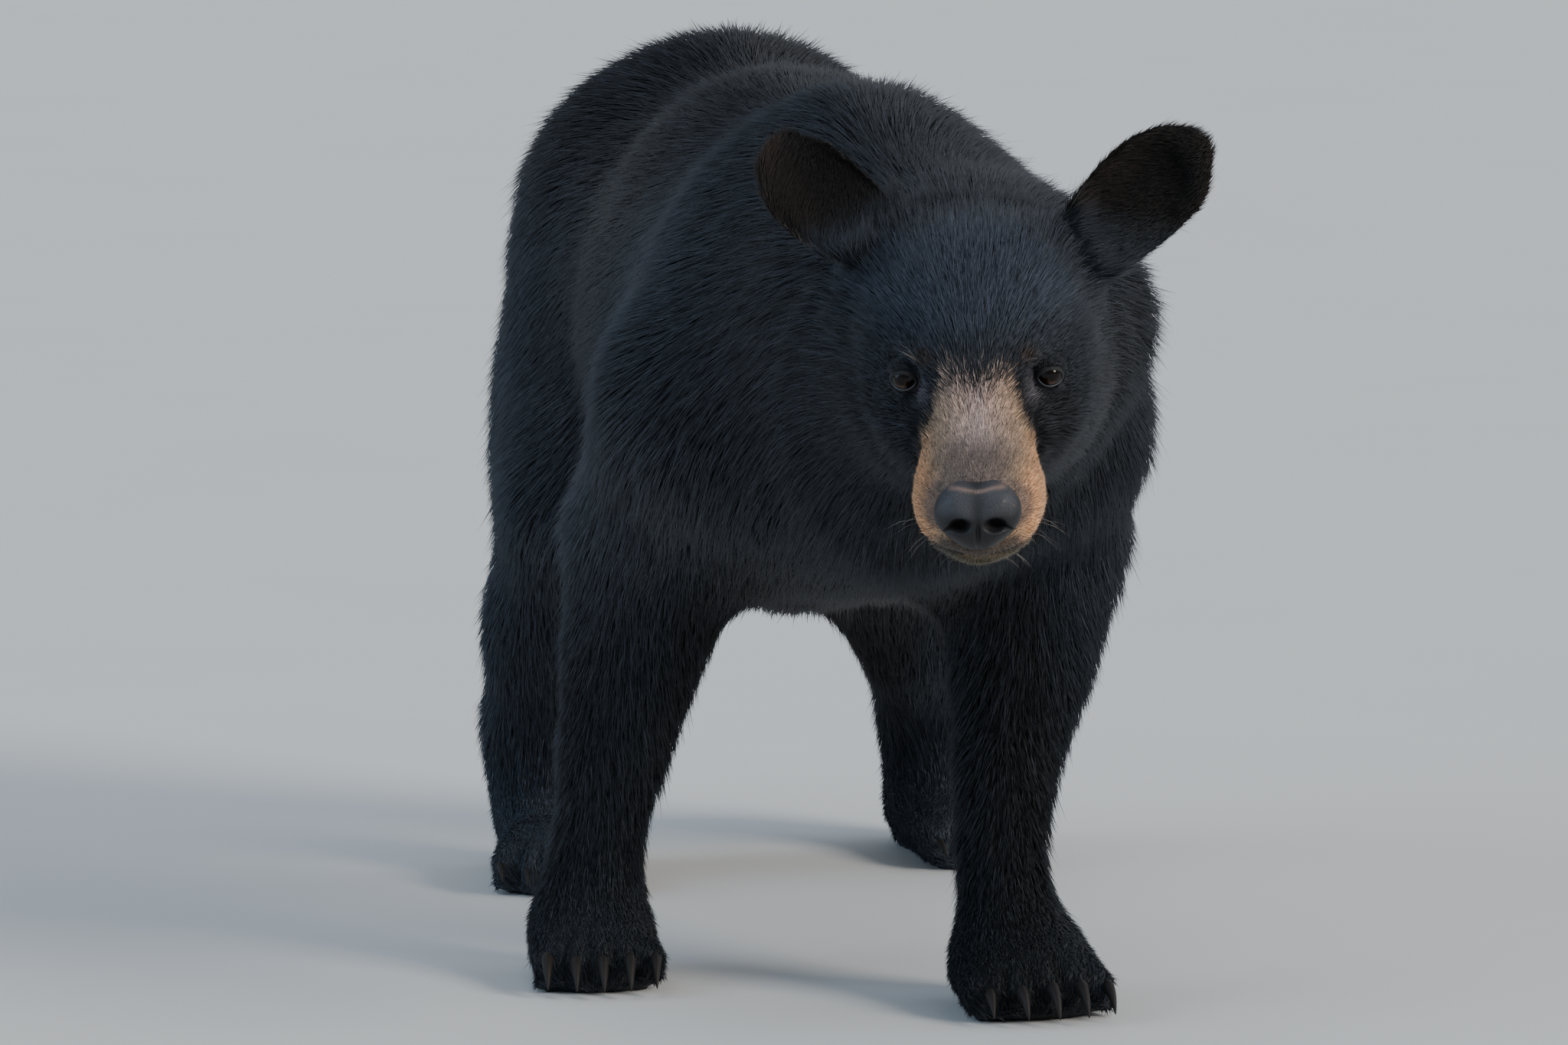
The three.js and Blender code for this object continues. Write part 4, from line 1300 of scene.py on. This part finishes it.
def make_lids(material):
    """A lid ring round each eye, over the eyeball and out under the skin."""
    for side, sign in (("left", 1), ("right", -1)):
        centre = np.array(middle(f"eye_{side}"))
        radius = ball_radius(f"eye_{side}") / MM
        look, right, up = eye_axes(sign)
        turn = np.linspace(0, 2 * math.pi, LID_ROUND, endpoint=False)
        nasal = -sign * np.cos(turn) * np.sign(right @ HEAD_ROTATION[:, 0])
        half_wide = np.where(nasal > 0, *LID_WIDE)
        half_high = np.where(np.sin(turn) > 0, *LID_HIGH)
        wide = half_wide * np.cos(turn)
        corner = np.clip(nasal, 0, 1)
        tall = half_high * np.sin(turn) * (1 - 0.3 * corner**3) - 0.9 * corner**2
        rings = []
        out = np.column_stack([np.cos(turn), np.sin(turn)])
        for share, rise in LID_RINGS:
            flat = np.column_stack([wide, tall]) + out * (share * LID_OUT)
            near = np.sqrt(np.maximum(radius**2 - (flat**2).sum(1), 4.0))
            on_ball = flat[:, :1] * right + flat[:, 1:] * up + near[:, None] * look
            rings.append(centre + unit(on_ball) * ((radius + rise) * MM))
        points = np.concatenate(rings)
        tri = []
        count = len(LID_RINGS)
        for ring in range(count - 1):
            for n in range(LID_ROUND):
                a, b = ring * LID_ROUND + n, ring * LID_ROUND + (n + 1) % LID_ROUND
                tri += [(a, b, a + LID_ROUND), (b, b + LID_ROUND, a + LID_ROUND)]
        # Closed behind, out of sight.
        last = (count - 1) * LID_ROUND
        for n in range(LID_ROUND):
            a, b = n, (n + 1) % LID_ROUND
            tri += [(b, a, last + a), (last + b, b, last + a)]
        tri = np.array(tri)
        lids = piece_from(f"eyelids_{side}", points, tri)
        turned_out(lids)
        smooth(lids)
        # The lower lid's wet rim, drawn pale as a painted reflection.
        wet = np.zeros((count, LID_ROUND))
        wet[1] = smooth_step(0.0, -0.7, np.sin(turn))
        wet[2] = 0.35 * wet[1]
        paint(lids, "wet", wet.ravel())
        finished(lids, material)


NOSE_HALF = (26.8, 18.0)  # half the nose pad's width and depth
NOSE_ABOVE, NOSE_BELOW = 20.5, 21.0  # its height above and below its middle
NOSE_MIDDLE = (0, -98.5, -49.5)
NOSE_NOD = -12  # degrees
NOSTRIL = (10.5, -2.5)  # out from the middle, and up


def squared(values, power):
    """Values between -1 and 1 pushed outwards, which makes a ball boxy."""
    return np.sign(values) * np.abs(values) ** power


def make_nose(material):
    """The nose pad: two lobes above, curled nostrils and a groove down the middle."""
    bpy.ops.object.select_all(action="DESELECT")
    bpy.ops.mesh.primitive_uv_sphere_add(segments=180, ring_count=120, radius=1)
    nose = bpy.context.active_object
    nose.name = nose.data.name = "nose_pad"
    unit_ball = coordinates(nose.data)
    # The ball's poles point to the front and the back.
    x, y, z = unit_ball[:, 0], -unit_ball[:, 2], unit_ball[:, 1]
    wide = NOSE_HALF[0] * (1 - 0.34 * smooth_step(0.1, -1.0, z) + 0.02 * z)
    px = wide * squared(x, 0.82)
    pz = np.where(z > 0, NOSE_ABOVE, NOSE_BELOW) * squared(z, 0.84)
    py = NOSE_HALF[1] * squared(y, 0.8)
    front = smooth_step(0.15, -0.5, y)
    # Above, a dip between two lobes.
    pz += 1.6 * np.exp(-(((np.abs(px) - 12) / 7) ** 2)) * smooth_step(0.3, 0.9, z)
    pz -= 0.5 * np.exp(-((px / 6) ** 2)) * smooth_step(0.3, 0.9, z)
    push = np.zeros(len(px))
    push += 1.6 * np.exp(-(((np.abs(px) - 11) / 7) ** 2) - ((pz - 6) / 7) ** 2)
    push += 2.2 * np.exp(-(((np.abs(px) - 17.5) / 5.5) ** 2) - ((pz - 13) / 5.5) ** 2)
    # The nostrils: a round hole, and a slit that curls out and up from it.
    out, up = np.abs(px) - NOSTRIL[0], pz - NOSTRIL[1]
    hole = np.exp(-(((out / 5.4) ** 2 + (up / 3.9) ** 2) ** 1.6))
    bend = -3.0 - 0.055 * (np.abs(px) - 12) ** 2 * (np.abs(px) > 12)
    slit = np.exp(-(((pz - bend) / 1.9) ** 2)) * smooth_step(9, 12, np.abs(px))
    slit *= smooth_step(25.5, 20, np.abs(px))
    hollow = np.clip(hole + 0.75 * slit, 0, 1)
    push -= 8.5 * hole + 3.4 * slit * (1 - hole)
    groove = np.exp(-((px / 1.5) ** 2)) * smooth_step(4, -6, pz)
    push -= 2.2 * groove
    push += 1.2 * np.exp(-(((np.abs(px) - 12) / 6) ** 2) - ((pz + 10) / 4.5) ** 2)
    py -= push * front
    head = np.column_stack([px, py, pz])
    tilt = Matrix.Rotation(math.radians(NOSE_NOD), 3, "X")
    head = head @ np.array(tilt).T + np.array(NOSE_MIDDLE)
    shaped(nose, from_head(head))
    turned_out(nose)
    smooth(nose)
    # The nostrils: the finish draws them almost black as painted shade, and rougher and drier.
    paint(nose, "hollow", smooth_step(0.35, 0.85, hollow) * front)
    # Painted shade, drawn near black by the finish: the lower front, the sides and the groove down the
    # middle.
    low = smooth_step(7.0, -3.0, pz + 2.5 * np.cos(px / 5)) + smooth_step(20, 27, np.abs(px))
    low += 0.7 * np.exp(-((px / 4.5) ** 2))
    paint(nose, "low", np.clip(low, 0, 1) * 0.92)
    rim = np.exp(-(((z - 0.84) / 0.05) ** 2)) * smooth_step(0.4, -0.3, y)
    paint(nose, "rim", np.clip(rim, 0, 1) * 0.8)
    finished(nose, material, ["nose"])


# ------------------------------------------------------------------ claws and whiskers
CLAW_STEPS = 9
CLAW_BEND = math.radians(5.5)  # at each step
CLAW_ROOT = 0.17  # radius of a claw's root as a share of its length
CLAW_NOD = 0.42  # the root of a claw points this many radians above its tip


def claw_pattern():
    """One claw, a unit long: from its root along -Y, curving down to a point."""
    bpy.ops.object.select_all(action="DESELECT")
    bpy.ops.mesh.primitive_circle_add(
        vertices=14, radius=CLAW_ROOT, fill_type="NGON", rotation=(math.radians(90), 0, 0)
    )
    claw = bpy.context.active_object
    bpy.ops.object.transform_apply(location=True, rotation=True, scale=True)
    bpy.ops.object.mode_set(mode="EDIT")
    bpy.ops.mesh.select_all(action="SELECT")
    place = Vector((0, 0, 0))
    angle = 0.0
    stride = 1.06 / CLAW_STEPS
    for step in range(CLAW_STEPS):
        way = Vector((0, -math.cos(angle), -math.sin(angle)))
        bpy.ops.mesh.extrude_region_move(TRANSFORM_OT_translate={"value": way * stride})
        place = place + way * stride
        bpy.ops.transform.rotate(value=-CLAW_BEND, orient_axis="X", center_override=place)
        angle += CLAW_BEND
        t = (step + 1) / CLAW_STEPS
        now, before = (1 - t**1.6) ** 0.8, (1 - (t - 1 / CLAW_STEPS) ** 1.6) ** 0.8
        scale = max(now, 0.06) / before
        bpy.ops.transform.resize(value=(scale, scale, scale), center_override=place)
    bpy.ops.object.mode_set(mode="OBJECT")
    turned_out(claw)
    bpy.ops.object.modifier_add(type="SUBSURF")
    modifier = claw.modifiers[-1]
    modifier.levels = modifier.render_levels = 1
    bpy.ops.object.modifier_apply(modifier=modifier.name)
    mesh = claw.data
    bpy.data.objects.remove(claw)
    return mesh


def make_claws(material):
    """Twenty claws, each in the place of its solid."""
    pattern = claw_pattern()
    shape = coordinates(pattern)
    for paw in ("forepaw", "hindpaw"):
        for side in SIDES:
            for toe in TOES:
                node = f"claw_{paw}_{side}_{toe}"
                root, way = claw_root(node)
                length = np.linalg.norm(way)
                turn = math.atan2(way[0], -way[1])
                nod = math.atan2(-way[2], math.hypot(way[0], way[1])) - CLAW_NOD
                size = Matrix.Diagonal((0.9 * length, length, 1.25 * length))
                hold = Matrix.Rotation(turn, 3, "Z") @ Matrix.Rotation(nod, 3, "X")
                mesh = pattern.copy()
                claw = bpy.data.objects.new(f"horn_{paw}_{side}_{toe}", mesh)
                bpy.context.scene.collection.objects.link(claw)
                placed = shape @ np.array(hold @ size).T + root
                placed[:, 2] = np.maximum(placed[:, 2], 0.3 * MM)
                shaped(claw, placed)
                smooth(claw)
                finished(claw, material, [node])


WHISKERS = (
    # head's frame, millimetres: the patch's middle and half size, how many, and their length
    ((31, -82, -64), (5, 14, 7), 13, 24),
    ((16, -92, -82), (9, 9, 3), 8, 15),
    ((36, -22, 17), (6, 4, 3), 5, 20),
)
WHISKER_WIDTH = 0.34 * MM
WHISKER_PALE = np.array((0.30, 0.27, 0.24))


def make_whiskers(skin, material):
    """Long bristles beside the mouth, under the chin and over the eyes."""
    rng = np.random.default_rng(7)
    tree = BVHTree.FromPolygons(skin.surface.points.tolist(), skin.surface.tri.tolist())
    roots, ways, lengths = [], [], []
    for sign in (-1, 1):
        for patch, half, count, length in WHISKERS:
            for _ in range(count):
                place = np.array(patch) + rng.uniform(-1, 1, 3) * half
                place[0] *= sign
                spot, normal, _, _ = tree.find_nearest(Vector(from_head(place)))
                drift = np.array((sign * 0.5, 0.35, -0.30 if patch[2] < 0 else 0.5))
                way = np.array(normal) * 0.5 + drift @ HEAD_ROTATION.T + rng.normal(0, 0.12, 3)
                roots.append(np.array(spot))
                ways.append(unit(way))
                lengths.append(length * MM * rng.uniform(0.6, 1.2))
    roots, ways, lengths = np.array(roots), np.array(ways), np.array(lengths)[:, None]
    down = np.array((0, 0, -1.0))
    mids = roots + ways * lengths * 0.5
    tips = roots + ways * lengths + down * lengths * 0.16
    side = unit(np.cross(ways, down))
    up = unit(np.cross(ways, side))
    width = np.full(len(roots), WHISKER_WIDTH)
    points, faces, along, size, pattern = tuft_mesh(roots, mids, tips, side, up, width)
    whiskers = piece_from("whiskers", points, faces)
    smooth(whiskers)
    count = len(roots)
    tone = rng.random(count)
    colour = mix(np.repeat(BLACK[None], count, 0), WHISKER_PALE, tone**2)
    paint(whiskers, "marking", np.repeat(colour, size, 0))
    paint(whiskers, "along", along)
    paint(whiskers, "tone", np.repeat(tone, size))
    paint(whiskers, "strand", np.zeros(len(points)))
    bake_tufts(whiskers, unwrap("whiskers", roots), pattern, 2)
    finished(whiskers, material)


# ------------------------------------------------------------------ settings and operators
class BearCoatSettings(bpy.types.PropertyGroup):
    """How the coat grows."""

    fullness: FloatProperty(
        name="Fullness", description="Share of the tufts that are planted", default=1.0,
        min=0.05, max=1.0, subtype="FACTOR",
    )
    sheen: FloatProperty(
        name="Sheen", description="Soft light on the hair seen edge on", default=0.05,
        min=0.0, max=1.0, subtype="FACTOR",
    )
    sheen_tint: FloatVectorProperty(
        name="Sheen Tint", description="Colour of the sheen", default=(0.68, 0.71, 0.80),
        min=0.0, max=1.0, subtype="COLOR",
    )


class BearStageSettings(bpy.types.PropertyGroup):
    """The stage, its lamps and the camera."""

    distance: FloatProperty(
        name="Distance", description="From the camera to the bear", default=7.231, unit="LENGTH",
    )
    azimuth: FloatProperty(
        name="Azimuth", description="Turn of the camera round the bear",
        default=math.radians(-8), subtype="ANGLE",
    )
    elevation: FloatProperty(
        name="Elevation", description="The camera above the level", default=math.radians(7.2),
        subtype="ANGLE",
    )
    aim: FloatVectorProperty(
        name="Aim", description="What the camera points at", default=(-0.0459, -0.1354, 0.310),
        subtype="XYZ", unit="LENGTH",
    )
    floor_colour: FloatVectorProperty(
        name="Floor Colour", description="The pale floor", default=(0.66, 0.66, 0.65),
        min=0.0, max=1.0, subtype="COLOR",
    )
    light: FloatProperty(
        name="Light", description="Strength of all lamps together", default=1.0, min=0.0,
    )


class Workshop:
    """What one operator makes and the next one needs."""

    skin = None
    groups = {}


def shorten_near_eyes(points):
    """A factor that makes the hair shorter round the eyes and the nose."""
    head = to_head(points)
    eye = away_from(head, EYE_PLACE)
    nose = away_from(head, (0, -98, -48))
    return (0.38 + 0.62 * smooth_step(10, 42, eye)) * (0.55 + 0.45 * smooth_step(24, 50, nose))


class BEAR_OT_skin(bpy.types.Operator):
    """Make the skin under the coat"""

    bl_idname = "bear.skin"
    bl_label = "Skin"

    def execute(self, context):
        skin = make_skin()
        skin.shorten = shorten_near_eyes
        skin.swirl = skin.surface.spread(swirl(skin.surface.points, 60, 1)[:, None], 1)[:, 0]
        Workshop.skin = skin
        Workshop.groups = {"hair": hair_group(), "grain": grain_group()}
        coat = context.scene.bear_coat
        material = fur_material(
            "skin_fur", Workshop.groups, coat.sheen * 0.5, coat.sheen_tint,
            root=0.6, tip=1.0, spread=0.9, tufts=False,
        )
        finished(skin.obj, material, FLESH)
        return {"FINISHED"}


class BEAR_OT_eyes(bpy.types.Operator):
    """Make the eyeballs and their lids"""

    bl_idname = "bear.eyes"
    bl_label = "Eyes and Lids"

    def execute(self, context):
        make_eyes(eye_material())
        make_lids(lid_material(Workshop.groups))
        return {"FINISHED"}


class BEAR_OT_nose(bpy.types.Operator):
    """Make the nose pad"""

    bl_idname = "bear.nose"
    bl_label = "Nose"

    def execute(self, context):
        make_nose(nose_material(Workshop.groups))
        return {"FINISHED"}


class BEAR_OT_claws(bpy.types.Operator):
    """Make the twenty claws"""

    bl_idname = "bear.claws"
    bl_label = "Claws"

    def execute(self, context):
        make_claws(horn_material())
        return {"FINISHED"}


class BEAR_OT_coat(bpy.types.Operator):
    """Plant the coat on the skin"""

    bl_idname = "bear.coat"
    bl_label = "Coat"

    def execute(self, context):
        settings = context.scene.bear_coat
        groups = Workshop.groups
        tint = settings.sheen_tint
        body = fur_material(
            "coat_fur", groups, settings.sheen, tint, root=0.6, tip=1.35, spread=0.95, frost=0.7,
        )
        muzzle = fur_material(
            "muzzle_fur", groups, 0.12, (0.9, 0.85, 0.8), root=0.7, tip=1.25, spread=1.2,
        )
        ears = fur_material(
            "ear_fur", groups, 0.04, (0.6, 0.55, 0.55), root=0.5, tip=1.7, spread=1.0,
        )
        finish = {"coat": body, "muzzle_coat": muzzle, "ear_coat": ears}
        crown = lambda head: head[:, 2] > CROWN_LEVEL
        cheeks = lambda head: head[:, 2] <= CROWN_LEVEL
        quick = 1.0
        for number, name in enumerate(COATS):
            rng = np.random.default_rng(100 + number)
            where = {"coat_crown": crown, "coat_cheeks": cheeks}.get(name)
            make_coat(
                Workshop.skin, name, rng, finish[COATS[name][1]], where,
                int(MOST_TUFTS * settings.fullness * quick),
            )
        make_whiskers(Workshop.skin, muzzle)
        return {"FINISHED"}


WARM, COOL, BLUE = (1.0, 0.93, 0.84), (0.80, 0.89, 1.0), (0.55, 0.76, 1.0)
LAMPS = (
    # name, the way it shines, its width in degrees, strength and colour
    ("key", (-0.64, 0.60, -0.46), 21, 2.4, WARM),
    ("top", (0.05, 0.25, -1.0), 60, 0.7, COOL),
    ("fill", (0.7, 0.6, -0.4), 50, 0.12, BLUE),
    ("side_left", (-0.9, -0.1, -0.5), 50, 0.6, COOL),
    ("side_right", (0.92, 0.05, -0.36), 45, 1.15, BLUE),
    ("back", (-0.1, -0.9, -0.5), 50, 0.2, WARM),
)
SKY = (0.62, 0.70, 0.80, 1)
SKY_STRENGTH = 0.4
FLOOR_RADIUS = 60
LENS, SENSOR = 256.64, 36  # millimetres


def lamp(name, way, spread, strength, colour):
    """A soft lamp far away, that shines along a way. spread is its width in degrees."""
    bpy.ops.object.light_add(type="SUN")
    one = bpy.context.active_object
    one.name = name
    one.data.angle = math.radians(spread)
    one.data.energy = strength
    one.data.color = colour
    one.rotation_mode = "QUATERNION"
    one.rotation_quaternion = Vector(way).to_track_quat("-Z", "Y")


class BEAR_OT_stage(bpy.types.Operator):
    """Set the floor, the lamps and the camera"""

    bl_idname = "bear.stage"
    bl_label = "Stage"

    def execute(self, context):
        settings = context.scene.bear_stage
        bpy.ops.object.select_all(action="DESELECT")
        bpy.ops.mesh.primitive_circle_add(vertices=96, radius=FLOOR_RADIUS, fill_type="TRIFAN")
        floor = context.active_object
        floor.name = "studio_floor"
        shaped(floor, coordinates(floor.data) - (0, 0, 0.1 * MM))
        material, tree, shader = nodes_of("studio_floor")
        speck = noise_node(tree, object_place(tree), 3.0)
        base = settings.floor_colour
        feed(tree, shader, "Base Color", mix_node(
            tree, speck, (*[c * 0.97 for c in base], 1), (*[min(c * 1.03, 1) for c in base], 1)))
        shader.inputs["Roughness"].default_value = 0.85
        floor.data.materials.append(material)

        aim = Vector(settings.aim)
        power = settings.light
        for name, way, spread, strength, colour in LAMPS:
            lamp(name, way, spread, strength * power, colour)
        world = bpy.data.worlds.new("studio")
        world.use_nodes = True
        sky = world.node_tree.nodes["Background"]
        sky.inputs["Color"].default_value = SKY
        sky.inputs["Strength"].default_value = SKY_STRENGTH * power
        context.scene.world = world

        camera = bpy.data.cameras.new("camera")
        camera.lens = LENS
        camera.sensor_width = SENSOR
        camera.clip_end = 60
        holder = bpy.data.objects.new("camera", camera)
        context.scene.collection.objects.link(holder)
        a, e = settings.azimuth, settings.elevation
        back = Vector((math.sin(a) * math.cos(e), -math.cos(a) * math.cos(e), math.sin(e)))
        holder.location = aim + back * settings.distance
        holder.rotation_mode = "QUATERNION"
        holder.rotation_quaternion = (-back).to_track_quat("-Z", "Y")
        context.scene.camera = holder
        return {"FINISHED"}


class BEAR_PT_panel(bpy.types.Panel):
    """The steps of the bear, in order"""

    bl_idname = "BEAR_PT_panel"
    bl_label = "Black Bear"
    bl_space_type = "VIEW_3D"
    bl_region_type = "UI"
    bl_category = "Bear"

    def draw(self, context):
        for step in STEPS:
            self.layout.operator(step.bl_idname)
        for settings in (context.scene.bear_coat, context.scene.bear_stage):
            for key in settings.bl_rna.properties.keys():
                if key not in ("rna_type", "name"):
                    self.layout.prop(settings, key)


STEPS = (BEAR_OT_stage, BEAR_OT_skin, BEAR_OT_eyes, BEAR_OT_nose, BEAR_OT_claws, BEAR_OT_coat)
CLASSES = (BearCoatSettings, BearStageSettings, *STEPS, BEAR_PT_panel)


def register():
    """Makes the add-on's classes known to Blender."""
    for one in CLASSES:
        bpy.utils.register_class(one)
    bpy.types.Scene.bear_coat = PointerProperty(type=BearCoatSettings)
    bpy.types.Scene.bear_stage = PointerProperty(type=BearStageSettings)


def unregister():
    """Takes the add-on's classes back."""
    del bpy.types.Scene.bear_coat
    del bpy.types.Scene.bear_stage
    for one in reversed(CLASSES):
        bpy.utils.unregister_class(one)


def main():
    """Makes the whole scene."""
    register()
    bpy.ops.bear.stage()
    bpy.ops.bear.skin()
    bpy.ops.bear.eyes()
    bpy.ops.bear.nose()
    bpy.ops.bear.claws()
    bpy.ops.bear.coat()


if __name__ == "__main__":
    main()
